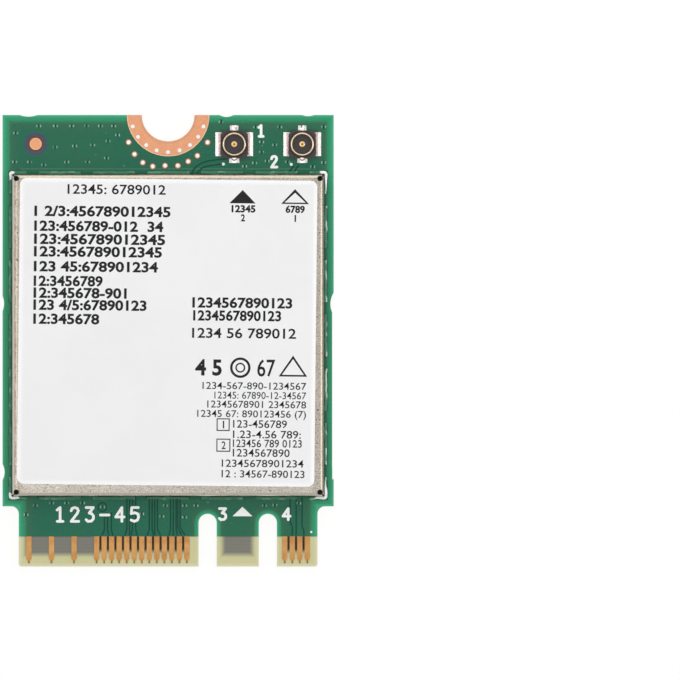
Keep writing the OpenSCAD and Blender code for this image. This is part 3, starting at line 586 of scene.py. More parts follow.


# Solder along the shield can's feet, which ran out over the lands. Its dull greens are a painted reflection
# of the mask, darkened next to the wall as painted shade and painted reflection of the wall, with a thin
# painted highlight along its outline and painted glints along the right side; only round the four corners is
# it thick and white.
(_, CAN_LOW, _), (CAN_SIDE, CAN_HIGH, _) = span("shield_can")
foot_finish, tree, place = new_finish("foot_solder", Metallic=0.1, Specular_IOR_Level=0.35)
across, along = (axis(tree, place, letter) for letter in "XY")
out_x = minus(tree, calc(tree, "ABSOLUTE", across), CAN_SIDE)
off_middle = calc(tree, "ABSOLUTE", minus(tree, along, CAN_MIDDLE[1]))
out_y = minus(tree, off_middle, CAN_HIGH - CAN_MIDDLE[1])
off_wall = hypotenuse(tree, larger(tree, out_x, 0.0), larger(tree, out_y, 0.0))
wander = grain(tree, place, 0.7, 1.0)
off_wall = plus(tree, off_wall, spread(tree, wander, -0.02, 0.04))
corner_spots = [(-10.42, 11.2, 0.4, 0.4), (-10.5, 11.0, 0.4, 0.6), (10.37, 11.2, 0.55, 0.4),
                (10.5, 10.5, 0.4, 1.6), (-10.26, -10.5, 0.72, 0.4), (-10.5, -10.4, 0.4, 0.6),
                (10.2, -10.5, 0.85, 0.4), (10.5, -9.8, 0.4, 1.6)]
at_corner = patches(tree, place, corner_spots, 0.16)
blotch = grain(tree, place, 0.5)
frost = grain(tree, place, 0.06, 4.0)
# Dull greens: a painted reflection of the mask.
reflected_green = mix(tree, blotch, tint(42, 110, 82), tint(84, 142, 112))
# Darker next to the wall: painted shade and painted reflection of the wall.
reflected_green = mix(tree, ramp(tree, off_wall, 0.08, 0.03), reflected_green, tint(50, 54, 38))
# The outline's pale tone is a painted highlight, with painted glints along the right side.
line = mix(tree, ramp(tree, blotch, 0.48, 0.68), tint(60, 120, 92), tint(124, 166, 140))
shiny = grain(tree, place, 1.1, 1.0)
glint = times(tree, ramp(tree, shiny, 0.5, 0.58), ramp(tree, across, 9.0, 10.0))
line = wash(tree, line, tint(226, 236, 222), glint, 0.75)
white = mix(tree, ramp(tree, blotch, 0.3, 0.45), tint(214, 220, 214), tint(255, 255, 253))
line = mix(tree, at_corner, line, white)
from_corner = off_round(tree, place, *((x, y) for x in (-10.5, 10.5) for y in (-10.48, 11.2)))
thinner = times(tree, at_corner, ramp(tree, from_corner, 0.2, 1.3, 0.0, 0.075))
inner_side = minus(tree, minus(tree, off_wall, thinner), ramp(tree, at_corner, 0.0, 1.0, 0.13, 0.03))
outer_side = minus(tree, minus(tree, 0.245, thinner), off_wall)
edge = times(tree, ramp(tree, inner_side, 0.0, 0.04), ramp(tree, outer_side, 0.0, 0.03))
metal = mix(tree, edge, reflected_green, line)
metal = mix(tree, ramp(tree, off_wall, 0.24, 0.26), metal, tint(20, 98, 70))
feed(tree, Base_Color=metal, Roughness=spread(tree, frost, 0.25, 0.45),
     Height=plus(tree, frost, times(tree, blotch, 2.0)), Rise=0.008 * MM)
dress(foot_finish, "can_lands", "can_solder")


# Shield can: one sheet of nickel silver, cut out, folded down round its four sides and soldered
# by its feet. The roll left a fine satin grain, and handling left small dark pits.
can_finish, tree, place = new_finish("nickel_silver", Metallic=0.85)
brushed = grain(tree, drawn_out(tree, place, 0.16, 1.0), 0.05)
cloud = grain(tree, place, 2.2)
pits = specks(tree, place, 0.4, 0.16)
dust = specks(tree, place, 0.12, 0.55)
frost = grain(tree, place, 0.09, 2.0)
across, along = (axis(tree, place, letter) for letter in "XY")
in_left, in_right = plus(tree, across, CAN_SIDE), minus(tree, CAN_SIDE, across)
in_top, in_low = minus(tree, CAN_HIGH, along), minus(tree, along, CAN_LOW)
streak = grain(tree, drawn_out(tree, place, 1.0, 0.3), 0.14)


def band(distance, begins, ends, soft=0.05):
    """A line along a fold, between two distances in from the can's edge."""
    return times(tree, ramp(tree, distance, begins, begins + soft), ramp(tree, distance, ends, ends - soft))


# Painted highlights along the folds at the left, right and top; the right one is painted in a dimmer tone.
fold_highlight = larger(tree, times(tree, band(in_left, 0.22, 0.34), 0.5), band(in_right, 0.13, 0.28))
fold_highlight = larger(tree, fold_highlight, times(tree, band(in_top, 0.02, 0.26), 0.75))
# Brown lines along the left and top folds, broken up by streaks: painted shade where the folds bend.
fold_shade = larger(tree, band(in_left, 0.12, 0.28), band(in_left, 0.38, 0.5))
fold_shade = times(tree, fold_shade, ramp(tree, streak, 0.38, 0.6))
fold_shade = larger(tree, fold_shade, times(tree, band(in_top, 0.2, 0.32), ramp(tree, streak, 0.44, 0.7)))
# Paler bands on the bottom, left and top folds: painted sheen.
fold_sheen = larger(tree, ramp(tree, in_low, 0.27, 0.2), ramp(tree, in_left, 0.18, 0.12))
fold_sheen = larger(tree, fold_sheen, ramp(tree, in_top, 0.08, 0.04))
# The outermost edge of the folds is painted dark: painted shade where the sheet turns down.
edge_shade = ramp(tree, smaller(tree, smaller(tree, in_top, in_low), in_left), 0.04, 0.0)
edge_shade = larger(tree, edge_shade, ramp(tree, in_right, 0.13, 0.05))
sheet = mix(tree, spread(tree, cloud), tint(166, 160, 150), tint(180, 173, 163))
sheet = wash(tree, sheet, tint(204, 194, 182), ramp(tree, brushed, 0.4, 0.7), 0.25)
sheet = wash(tree, sheet, tint(150, 138, 124), ramp(tree, frost, 0.5, 0.7), 0.22)
at_side = ramp(tree, smaller(tree, in_left, in_right), 0.75, 0.55)
sheet = wash(tree, sheet, tint(118, 104, 90), at_side, 0.2)
sheet = wash(tree, sheet, tint(118, 104, 90), dust, 0.6)
highlight_tone = mix(tree, ramp(tree, in_right, 0.4, 0.3), tint(246, 230, 202), tint(206, 194, 174))
sheet = wash(tree, sheet, highlight_tone, fold_highlight, 0.65)
sheet = wash(tree, sheet, tint(224, 215, 202), fold_sheen, 0.8)
sheet = wash(tree, sheet, tint(122, 96, 76), fold_shade, 0.6)
sheet = wash(tree, sheet, tint(104, 92, 74), edge_shade, 0.75)
sheet = wash(tree, sheet, tint(70, 58, 50), pits, 0.8)
RELIEF_IN = 0.26
relief_holes = [(x, y) for x in (RELIEF_IN - CAN_SIDE, CAN_SIDE - RELIEF_IN)
                for y in (CAN_LOW + RELIEF_IN, CAN_HIGH - RELIEF_IN)]
# A dark ring is painted round each relief hole: painted shade that spreads out from the hole.
from_relief = off_round(tree, place, *relief_holes)
sheet = mix(tree, ramp(tree, from_relief, 0.21, 0.15), sheet, tint(40, 26, 20))
feed(tree, Base_Color=sheet, Roughness=spread(tree, brushed, 0.22, 0.32),
     Height=minus(tree, times(tree, brushed, 0.4), pits), Rise=0.006 * MM)
dress(can_finish, "shield_can", "crystal_lid")


# Label: coated white paper with a clear film, cut by a steel rule and stuck on the can a little askew. Its
# rim is soft from the cut, and a faint painted highlight runs along it.
LABEL_WIDE, LABEL_LONG = 19.76, 20.34
LABEL_X, LABEL_Y = -0.065, middle_of("label")[1]
(_, _, LABEL_FOOT), (_, _, LABEL_TOP) = span("label")
LABEL_TURN = math.radians(-0.6)
bpy.ops.object.select_all(action="DESELECT")
bpy.ops.mesh.primitive_plane_add(
    size=1, location=(LABEL_X * MM, LABEL_Y * MM, LABEL_FOOT * MM), rotation=(0, 0, LABEL_TURN))
paper = bpy.context.active_object
paper.scale = (LABEL_WIDE * MM, LABEL_LONG * MM, 1)
bpy.ops.object.transform_apply(location=False, rotation=False, scale=True)
bpy.ops.object.mode_set(mode="EDIT")
bpy.ops.mesh.select_all(action="SELECT")
bpy.ops.mesh.bevel(offset=0.45 * MM, segments=6, affect="VERTICES")
paper_thick = (LABEL_TOP - LABEL_FOOT) * MM - PRINT
bpy.ops.mesh.extrude_region_move(TRANSFORM_OT_translate={"value": (0, 0, paper_thick)})
bpy.ops.mesh.inset(thickness=0.03 * MM, depth=0)
bpy.ops.mesh.inset(thickness=0.3 * MM, depth=0)
bpy.ops.object.mode_set(mode="OBJECT")
for corner in paper.data.vertices:
    on_top = corner.co.z > paper_thick / 2
    inside = (abs(corner.co.x) < (LABEL_WIDE / 2 - 0.04) * MM
              and abs(corner.co.y) < (LABEL_LONG / 2 - 0.04) * MM)
    if on_top and not inside:
        corner.co.z -= 0.014 * MM
for face in paper.data.polygons:
    face.use_smooth = True
only(paper)
bpy.ops.object.shade_smooth_by_angle(angle=math.radians(50))
label_finish, tree, place = new_finish("label_paper", Specular_IOR_Level=0.4)
fibre = grain(tree, place, 0.22, 4.0)
cloud = grain(tree, place, 4.0)
white = mix(tree, spread(tree, cloud), tint(240, 240, 240), tint(243, 243, 243))
white = wash(tree, white, tint(222, 222, 224), fibre, 0.08)
squared = put(tree, "VectorRotate", 0,
              {"Vector": place, "Center": (0, LABEL_Y, 0), "Angle": -LABEL_TURN}, rotation_type="Z_AXIS")
off_rim = patches(tree, squared, [(LABEL_X, LABEL_Y, LABEL_WIDE - 0.46, LABEL_LONG - 0.44)], 0.3)
# The rim is painted brighter: a painted highlight along the cut edge.
white = mix(tree, off_rim, tint(252, 252, 252), white)
feed(tree, Base_Color=white, Roughness=spread(tree, fibre, 0.42, 0.55),
     Height=plus(tree, fibre, times(tree, cloud, 2.0)), Rise=0.005 * MM)
settle(paper, "label_paper", label_finish)
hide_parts("label")


# Print on the label: black ink, in rows of plain figures with simple shapes between them, turned
# with the label. A row is given by its figures, its left and right end, the height of its middle,
# how tall it is and how bold.
FIGURE_TALL = 0.69


def row_of_figures(figures, left, right, middle, tall, boldness):
    """Figures as a thin mesh from left to right, tall each and round a middle height, in mm."""
    bpy.ops.object.select_all(action="DESELECT")
    bpy.ops.object.text_add()
    row = bpy.context.active_object
    row.data.body = figures
    row.data.offset = boldness
    row.data.resolution_u = 3
    row.data.extrude = PRINT / 2
    bpy.ops.object.convert(target="MESH")
    row = bpy.context.active_object
    reach = [corner.co.x for corner in row.data.vertices]
    first, last = min(reach), max(reach)
    stretch = Matrix.Diagonal(((right - left) * MM / (last - first), tall * MM / FIGURE_TALL, 1, 1))
    row.data.transform(Matrix.Translation((left * MM, middle * MM, 0)) @ stretch
                       @ Matrix.Translation((-first, -FIGURE_TALL / 2, 0)))
    return row


def drawn_lines(paths, width, closed=False, rise=PRINT, taper=0.0):
    """Lines as one thin mesh with bevelled sides; each path is a list of places on the card, in mm.

    With a taper the lines grow thinner towards their ends."""
    half = width / 2 * MM
    pen = bpy.data.curves.new("drawn_lines", "CURVE")
    pen.dimensions = "3D"
    pen.bevel_depth = half
    pen.bevel_resolution = 1
    pen.use_fill_caps = True
    for path in paths:
        spline = pen.splines.new("POLY")
        spline.points.add(len(path) - 1)
        for i, (point, (x, y)) in enumerate(zip(spline.points, path)):
            point.co = (x * MM, y * MM, 0, 1)
            point.radius = 1 - taper * (2 * i / (len(path) - 1) - 1) ** 4
        spline.use_cyclic_u = closed
    lines = bpy.data.objects.new("drawn_lines", pen)
    bpy.context.collection.objects.link(lines)
    only(lines)
    bpy.ops.object.convert(target="MESH")
    lines = bpy.context.active_object
    bpy.ops.object.shade_flat()
    lines.data.transform(Matrix.Diagonal((1, 1, 3 * rise / half, 1)))
    for corner in lines.data.vertices:
        corner.co.z = min(max(corner.co.z, -rise), rise)
    return lines


def filled_shape(corners, thick=PRINT):
    """A flat shape with straight sides, as a thin slab; its corners are places in mm."""
    bpy.ops.object.select_all(action="DESELECT")
    bpy.ops.mesh.primitive_circle_add(vertices=len(corners), radius=1, fill_type="NGON")
    shape = bpy.context.active_object
    for corner, (x, y) in zip(shape.data.vertices, corners):
        corner.co = (x * MM, y * MM, 0)
    bpy.ops.object.mode_set(mode="EDIT")
    bpy.ops.mesh.select_all(action="SELECT")
    bpy.ops.mesh.normals_make_consistent(inside=False)
    bpy.ops.mesh.extrude_region_move(TRANSFORM_OT_translate={"value": (0, 0, thick)})
    bpy.ops.mesh.select_all(action="SELECT")
    bpy.ops.mesh.normals_make_consistent(inside=False)
    bpy.ops.object.mode_set(mode="OBJECT")
    shape.data.transform(Matrix.Translation((0, 0, -thick / 2)))
    return shape


def ring_path(x, y, radius, steps=48):
    return [(x + radius * math.cos(math.tau * i / steps), y + radius * math.sin(math.tau * i / steps))
            for i in range(steps)]


def box_path(left, right, low, high):
    return [(left, low), (right, low), (right, high), (left, high)]


def joined(parts, height=0.0, welded=True):
    """Join several meshes into one piece, raised by a height; welding closes their seams."""
    bpy.ops.object.select_all(action="DESELECT")
    for part in parts:
        part.select_set(True)
    bpy.context.view_layer.objects.active = whole = parts[0]
    if len(parts) > 1:
        bpy.ops.object.join()
    if welded:
        weld(whole, 0.0004 * MM)
    whole.data.transform(Matrix.Translation((0, 0, height)))
    return whole


label_rows = [
    ("12345: 6789012", -6.78, -0.26, 10.02, 0.62, 0.014),
    ("1 2/3:456789012345", -8.97, 0.08, 8.55, 0.64, 0.032),
    ("123:456789-012  34", -8.97, -0.39, 7.56, 0.64, 0.032),
    ("123:456789012345", -8.97, -0.26, 6.69, 0.64, 0.032),
    ("123:456789012345", -8.97, -0.46, 5.86, 0.64, 0.032),
    ("123 45:678901234", -8.97, -0.72, 4.87, 0.64, 0.032),
    ("12:3456789", -8.97, -4.38, 3.90, 0.64, 0.032),
    ("12:345678-901", -8.97, -2.78, 3.11, 0.64, 0.032),
    ("123 4/5:67890123", -8.97, -1.45, 2.31, 0.64, 0.032),
    ("12:345678", -8.97, -4.58, 1.38, 0.64, 0.032),
    ("1234567890123", 1.59, 8.23, 2.57, 0.64, 0.03),
    ("1234567890123", 1.65, 7.50, 1.71, 0.64, 0.03),
    ("1234 56 789012", 1.59, 8.50, 0.55, 0.64, 0.016),
    ("12345", 4.13, 5.72, 8.82, 0.44, 0.04),
    ("2", 4.76, 5.03, 8.22, 0.44, 0.03),
    ("6789", 7.72, 9.00, 8.82, 0.44, 0.04),
    ("1", 8.32, 8.42, 8.22, 0.44, 0.02),
    ("1234-567-890-1234567", 2.32, 9.22, -2.94, 0.46, 0.006),
    ("12345: 67890-12-34567", 3.12, 9.22, -3.57, 0.46, 0.004),
    ("12345678901 2345678", 2.65, 9.22, -4.17, 0.46, 0.006),
    ("12345 67: 890123456 (7)", 1.99, 9.22, -4.80, 0.46, 0.006),
    ("123-456789", 4.38, 7.96, -5.47, 0.5, 0.008),
    ("1.23-4.56 789:", 4.38, 8.89, -6.16, 0.5, 0.008),
    ("123456 789 0123", 4.38, 8.96, -6.76, 0.5, 0.008),
    ("1234567890", 4.38, 8.16, -7.39, 0.5, 0.008),
    ("12345678901234", 3.65, 9.09, -8.09, 0.48, 0.008),
    ("12 : 34567-890123", 3.65, 9.16, -8.79, 0.48, 0.008),
    ("4 5", 1.82, 3.59, -1.74, 1.0, 0.03),
    ("67", 5.95, 7.14, -1.74, 1.1, 0.01),
    ("1", 3.70, 3.79, -5.53, 0.5, 0.008),
    ("2", 3.63, 3.90, -6.90, 0.5, 0.012),
]
label_ink = joined([row_of_figures(*row) for row in label_rows] + [
    filled_shape([(3.98, 9.18), (5.72, 9.18), (4.86, 10.07)]),
    drawn_lines([[(7.53, 9.22), (9.16, 9.22), (8.34, 10.04)]], 0.24, closed=True),
    drawn_lines([ring_path(4.82, -1.74, 0.6)], 0.16, closed=True),
    drawn_lines([ring_path(4.82, -1.74, 0.28)], 0.1, closed=True),
    drawn_lines([[(7.48, -2.24), (9.16, -2.24), (8.32, -1.02)]], 0.24, closed=True),
    drawn_lines([box_path(3.32, 4.12, -5.92, -5.15), box_path(3.32, 4.18, -7.3, -6.5)], 0.1, closed=True),
])
label_ink.data.transform(Matrix.Translation((0, LABEL_Y * MM, LABEL_TOP * MM - PRINT / 2))
                         @ Matrix.Rotation(LABEL_TURN, 4, "Z")
                         @ Matrix.Translation((0, -LABEL_Y * MM, 0)))
for corner in label_ink.data.vertices:
    corner.co.z = min(max(corner.co.z, LABEL_TOP * MM - 1.5 * PRINT), LABEL_TOP * MM)
ink_finish, tree, place = new_finish("label_ink", Roughness=0.5, Specular_IOR_Level=0.3)
worn = grain(tree, place, 0.08)
feed(tree, Base_Color=mix(tree, ramp(tree, worn, 0.35, 0.7), tint(10, 9, 11), tint(34, 32, 36)),
     Roughness=spread(tree, worn, 0.42, 0.6), Height=worn, Rise=0.001 * MM)
settle(label_ink, "label_print", ink_finish)


# Silk-screen print on the component side: white epoxy ink pushed through a mesh, a little
# uneven in thickness, with a soft rounded edge.
silk_finish, tree, place = new_finish("silk_ink", Specular_IOR_Level=0.3)
worn = grain(tree, place, 0.1)
feed(tree, Base_Color=mix(tree, ramp(tree, worn, 0.3, 0.75), tint(255, 255, 255), tint(246, 249, 247)),
     Roughness=spread(tree, worn, 0.45, 0.6), Height=worn, Rise=0.003 * MM)
pen_strokes = {
    "0": [[(0.1, 0.22), (0.1, 0.78), (0.18, 0.96), (0.3, 1.0), (0.42, 0.96), (0.5, 0.78), (0.5, 0.22),
           (0.42, 0.04), (0.3, 0.0), (0.18, 0.04), (0.1, 0.22)]],
    "1": [[(0.15, 0.82), (0.32, 1.0), (0.32, 0.0)], [(0.16, 0.0), (0.48, 0.0)]],
    "2": [[(0.1, 0.76), (0.15, 0.93), (0.3, 1.0), (0.45, 0.93), (0.5, 0.76), (0.44, 0.58), (0.1, 0.0),
           (0.52, 0.0)]],
    "3": [[(0.1, 1.0), (0.5, 1.0), (0.27, 0.6), (0.42, 0.55), (0.51, 0.38), (0.5, 0.18), (0.4, 0.03),
           (0.2, 0.0), (0.1, 0.12)]],
    "4": [[(0.42, 0.0), (0.42, 1.0), (0.08, 0.32), (0.54, 0.32)]],
    "5": [[(0.5, 1.0), (0.14, 1.0), (0.11, 0.56), (0.3, 0.63), (0.46, 0.55), (0.52, 0.34), (0.46, 0.1),
           (0.28, 0.0), (0.1, 0.1)]],
    "6": [[(0.45, 0.98), (0.28, 0.85), (0.13, 0.55), (0.1, 0.26), (0.18, 0.06), (0.32, 0.0), (0.46, 0.08),
           (0.51, 0.28), (0.45, 0.46), (0.3, 0.53), (0.14, 0.42)]],
    "7": [[(0.08, 1.0), (0.52, 1.0), (0.24, 0.0)]],
    "8": [[(0.3, 0.54), (0.14, 0.66), (0.12, 0.86), (0.22, 0.99), (0.38, 0.99), (0.48, 0.86), (0.46, 0.66),
           (0.3, 0.54), (0.12, 0.4), (0.08, 0.18), (0.2, 0.01), (0.4, 0.01), (0.52, 0.18), (0.48, 0.4),
           (0.3, 0.54)]],
    "9": [[(0.15, 0.02), (0.32, 0.15), (0.47, 0.45), (0.5, 0.74), (0.42, 0.94), (0.28, 1.0), (0.14, 0.92),
           (0.09, 0.72), (0.15, 0.54), (0.3, 0.47), (0.46, 0.58)]],
    "-": [[(0.06, 0.46), (0.54, 0.46)]],
}


def stroke_figures(figures, left, right, middle, tall, wide=1.0, turned=False):
    """Paths of figures drawn with one pen, as a plotter makes them, from left to right in mm.

    With right smaller than left they read from beneath; turned, left and right run down the card."""
    way = 1 if right > left else -1
    step = (abs(right - left) - 0.42 * tall * wide) / max(len(figures) - 1, 1)
    paths = []
    for place, figure in enumerate(figures):
        for stroke in pen_strokes.get(figure, []):
            path = []
            for x, y in stroke:
                along = place * step + (x - 0.09) * tall * wide
                up = (y - 0.5) * tall
                path.append((middle - up, left - along) if turned else (left + way * along, middle + up))
            paths.append(path)
    return paths


def pen_line(paths, width, thick):
    """Round-ended strokes of one pen, a hair apart in thickness where they cross."""
    half = width / 2
    tip = [(math.cos(turn), math.sin(turn)) for turn in (math.pi * (i / 7 - 0.5) for i in range(8))]
    pill = filled_shape([(1 + half * x, half * y) for x, y in tip]
                        + [(-1 - half * x, half * y) for x, y in reversed(tip)], thick)
    strokes = []
    for path in paths:
        for (x0, y0), (x1, y1) in zip(path, path[1:]):
            one = copy_of(pill)
            turn = Matrix.Rotation(math.atan2(y1 - y0, x1 - x0), 4, "Z")
            thinner = len(strokes) % 11 * 0.0001 * MM
            for corner in one.data.vertices:
                x, y, side = (x1, y1, 1) if corner.co.x > 0 else (x0, y0, -1)
                corner.co.x -= side * MM
                corner.co = turn @ corner.co + Vector((x * MM, y * MM, 0))
                corner.co.z -= math.copysign(thinner, corner.co.z)
            strokes.append(one)
    bpy.data.objects.remove(pill)
    return joined(strokes, welded=False)


MASK_TOP = span("solder_mask_top")[1][2] * MM
figure_paths = (
    stroke_figures("1", 5.98, 6.5, 13.94, 0.72, 1.2) + stroke_figures("2", 6.86, 7.36, 11.9, 0.72, 1.2)
    + stroke_figures("123-45", -7.45, -1.97, -11.54, 0.92, 1.3)
    + stroke_figures("3", 3.4, 4.0, -11.52, 0.74, 1.4) + stroke_figures("4", 7.64, 8.24, -11.52, 0.74, 1.4))
silk_parts = [
    pen_line(figure_paths, 0.175, 2 * PRINT),
    filled_shape([(4.28, -11.66), (5.6, -11.66), (4.94, -11.03)], 2 * PRINT),
    filled_shape(ring_path(3.67, 11.74, 0.1, 12), 2 * PRINT),
    filled_shape(ring_path(8.18, 11.72, 0.1, 12), 2 * PRINT),
    filled_shape(ring_path(9.51, -12.71, 0.07, 12), 2 * PRINT),
]
settle(joined(silk_parts, MASK_TOP + PRINT / 2, welded=False), "silk_print_component_side",
       silk_finish)


# Tracks under the mask: the etched gaps beside the aerial tracks and the signal tracks show as
# thin dark lines, which run out of the receptacles and fan out to the contacts.
groove_finish, tree, place = new_finish("mask_in_groove", Specular_IOR_Level=0.15, Roughness=0.4)
worn = grain(tree, place, 0.3)
feed(tree, Base_Color=mix(tree, worn, tint(6, 60, 48), tint(18, 80, 62)), Height=worn, Rise=0.003 * MM)
top_tracks = [
    [(3.87, 12.08), (3.22, 12.02), (2.64, 11.95), (2.21, 11.8), (1.89, 11.59), (1.67, 11.35),
     (1.55, 11.04)],
    [(3.65, 11.75), (3.0, 11.66), (2.57, 11.6), (2.25, 11.47), (2.03, 11.28), (1.91, 11.03)],
    [(8.33, 11.6), (8.12, 11.31), (7.96, 11.04)], [(8.71, 11.67), (8.48, 11.39), (8.33, 11.04)],
    [(-4.23, -11.56), (-4.23, -12.53), (-4.39, -12.94)], [(-4.03, -11.63), (-4.03, -12.53), (-3.93, -12.94)],
    [(-3.77, -11.41), (-3.77, -12.53), (-3.67, -12.94)], [(-2.74, -10.4), (-2.74, -12.53), (-2.88, -12.94)],
    [(-2.56, -10.4), (-2.56, -12.94)], [(-2.37, -10.4), (-2.37, -12.53), (-2.45, -12.94)],
    [(-2.16, -10.4), (-2.16, -12.53), (-2.04, -12.94)], [(-1.25, -10.4), (-1.25, -12.53), (-1.4, -12.94)],
    [(-1.06, -10.4), (-1.06, -12.53), (-0.97, -12.94)], [(-0.89, -10.4), (-0.89, -12.94)],
    [(-0.71, -10.4), (-0.71, -12.53), (-0.5, -12.94)], [(0.16, -10.4), (0.16, -12.53), (0.05, -12.94)],
    [(0.34, -10.4), (0.34, -12.94)], [(0.53, -10.4), (0.53, -12.53), (0.63, -12.94)],
    [(0.64, -10.4), (0.64, -12.42), (0.91, -12.94)], [(0.8, -10.4), (0.8, -12.42), (1.13, -12.92)],
    [(8.1, -10.4), (8.1, -11.99), (8.26, -12.42), (8.23, -12.94)], [(8.51, -10.4), (8.51, -12.94)],
    [(8.9, -10.4), (8.9, -12.35), (9.02, -12.64), (9.02, -12.94)],
]
top_grooves = [drawn_lines(top_tracks, 0.095),
               drawn_lines([ring_path(-4.38, -11.05, 0.29, 20)], 0.08, closed=True)]
settle(joined(top_grooves, MASK_TOP), "track_gaps_component_side", groove_finish)


# Small plated holes under the mask: the mask sinks into each one and stands up round its rim. The middle of
# each is painted dark, as painted shade in the hole, and the rim is painted pale at its left and right, as
# painted highlights.
dimple_finish, tree, place = new_finish("mask_over_hole", Specular_IOR_Level=0.25, Roughness=0.4)
glint = put(tree, "Attribute", "Fac", attribute_name="glint")
worn = grain(tree, place, 0.3)
# Dark in the middle as painted shade, pale at the rim's sides as painted highlights.
skin = mix(tree, ramp(tree, glint, 0.1, 0.4), tint(4, 46, 34), tint(14, 94, 68))
highlight_tone = mix(tree, spread(tree, worn), tint(84, 148, 120), tint(166, 202, 182))
skin = wash(tree, skin, highlight_tone, ramp(tree, glint, 0.7, 0.92), 0.85)
feed(tree, Base_Color=skin, Height=worn, Rise=0.002 * MM)

bpy.ops.object.select_all(action="DESELECT")
bpy.ops.mesh.primitive_circle_add(vertices=12, radius=0.19 * MM, fill_type="NGON")
dimple = bpy.context.active_object
bpy.ops.object.mode_set(mode="EDIT")
bpy.ops.mesh.select_all(action="SELECT")
bpy.ops.mesh.inset(thickness=0.025 * MM, depth=0)
bpy.ops.transform.translate(value=(0, 0, PRINT))
bpy.ops.mesh.inset(thickness=0.07 * MM, depth=0)
bpy.ops.mesh.inset(thickness=0.035 * MM, depth=0)
bpy.ops.transform.translate(value=(0, 0, -0.5 * PRINT))
bpy.ops.object.mode_set(mode="OBJECT")
dimple.data.transform(Matrix.Diagonal((1, 0.9, 0.9, 1)))
# The glint attribute holds 0 for the painted shade in the middle, 1 for the painted highlights at the rim's
# left and right, and 0.5 elsewhere.
tone = dimple.data.attributes.new("glint", "FLOAT", "POINT")
for corner, shade in zip(dimple.data.vertices, tone.data):
    reach = math.hypot(corner.co.x, corner.co.y) / MM
    on_rim = 0.075 <= reach <= 0.175
    at_side = abs(corner.co.x) / MM > 0.8 * reach
    shade.value = 0.0 if reach < 0.075 else 1.0 if on_rim and at_side else 0.5


def dimples(places, height, face):
    """Copies of the dimple at places in mm; face is 1 on the component side and -1 beneath."""
    copies = []
    for x, y in places:
        one = copy_of(dimple)
        turn = Matrix.Identity(4) if face > 0 else Matrix.Rotation(math.pi, 4, "Y")
        one.data.transform(Matrix.Translation((x * MM, y * MM, height)) @ turn)
        copies.append(one)
    return joined(copies, welded=False)


top_dimples = [
    (-8.6, 14.27), (-7.48, 14.27), (-6.41, 14.27), (-5.42, 14.27), (-4.49, 14.27), (-3.62, 14.27),
    (-10.13, 13.8), (-3.36, 13.67), (-3.99, 13.27), (-5.02, 13.01), (-7.51, 12.87), (-6.21, 12.94),
    (-4.09, 12.14), (-10.2, 11.88), (-9.2, 11.88), (-8.27, 11.68), (-6.74, 11.88), (-5.35, 11.88),
    (3.52, 14.55), (5.81, 14.2), (7.41, 14.2), (10.33, 14.2), (6.21, 13.21), (7.08, 13.01),
    (6.21, 12.54), (5.75, 11.81), (5.08, 11.58), (6.58, 11.94), (7.94, 11.88), (10.33, 11.84), (9.6, 11.58),
    (-8.82, -10.95), (-7.74, -10.78), (-6.74, -10.78), (-5.69, -10.78), (-9.44, -11.56), (-4.36, -11.05),
    (-1.76, -11.5), (-0.43, -11.67), (-0.18, -10.95), (1.09, -10.95), (1.85, -10.95), (1.09, -11.72),
    (6.4, -10.95), (7.1, -10.92), (8.68, -10.8),
]
settle(dimples(top_dimples, MASK_TOP, 1), "covered_holes_component_side", dimple_finish)


# The same three on the underside: white epoxy print in rows of plain figures and plain outlines,
# tracks that show under the mask as thin dark lines, and holes that the mask covers.
corner_lines = [
    [(10.76, 13.34), (10.76, 14.65), (9.46, 14.65)], [(-10.8, 13.28), (-10.8, 14.56), (-9.48, 14.56)],
    [(10.85, -8.38), (10.85, -9.7), (9.53, -9.7)], [(9.93, -9.93), (8.54, -9.93)],
    [(-10.7, -8.44), (-10.7, -9.8), (-9.34, -9.8)], [(-8.32, -10.03), (-9.74, -10.03)],
]
outlines = [box_path(7.9, 10.08, 4.82, 7.26), ring_path(9.01, 3.09, 1.27), ring_path(9.03, 0.1, 1.27),
            ring_path(5.61, 3.09, 1.27)]
figure_bars = {"1": "bc", "2": "abged", "3": "abgcd", "4": "fgbc", "5": "afgcd", "6": "afgedc", "7": "abc"}
bar_ends = {"a": ((0.17, 1.22), (0.33, 1.22)), "b": ((0.5, 1.06), (0.5, 0.8)),
            "c": ((0.5, 0.44), (0.5, 0.18)), "d": ((0.17, 0.0), (0.33, 0.0)),
            "e": ((0.0, 0.44), (0.0, 0.18)), "f": ((0.0, 1.06), (0.0, 0.8)),
            "g": ((0.17, 0.62), (0.33, 0.62))}
bar_lines = [[(start - x * 1.3, y - 11.1) for x, y in bar_ends[bar]]
             for start, figure in zip((-0.17, -1.12, -1.96, -2.84, -4.6, -5.45, -6.3), "1234567")
             for bar in figure_bars[figure]]
under_silk = [
    joined([drawn_lines(corner_lines, 0.15), drawn_lines(outlines, 0.17, closed=True)]),
    pen_line(bar_lines, 0.13, PRINT),
    filled_shape(ring_path(-3.98, -10.5, 0.27, 20)),
    pen_line(stroke_figures("123456789-012", 7.08, -5.34, -4.77, 1.0, 1.2)
             + stroke_figures("123-45", 9.1, 3.8, -10.66, 1.0, 1.2), 0.16, PRINT),
    pen_line(stroke_figures("12345678", -2.3, -8.22, -9.04, 0.78, 1.2), 0.16, PRINT),
    pen_line(stroke_figures("12", 7.0, 5.1, 9.0, 1.25, turned=True)
             + stroke_figures("34", 3.9, 2.3, 9.0, 1.1, turned=True)
             + stroke_figures("56", 0.9, -0.7, 9.0, 1.1, turned=True)
             + stroke_figures("7", 3.4, 2.8, 5.6, 1.1, turned=True)
             + stroke_figures("890", 1.03, -1.49, 6.15, 1.1, turned=True), 0.16, PRINT),
]
print_beneath = joined(under_silk, PRINT / 2, welded=False)
for corner in print_beneath.data.vertices:
    corner.co.z = max(corner.co.z, 0.0)
settle(print_beneath, "silk_print_underside", silk_finish)

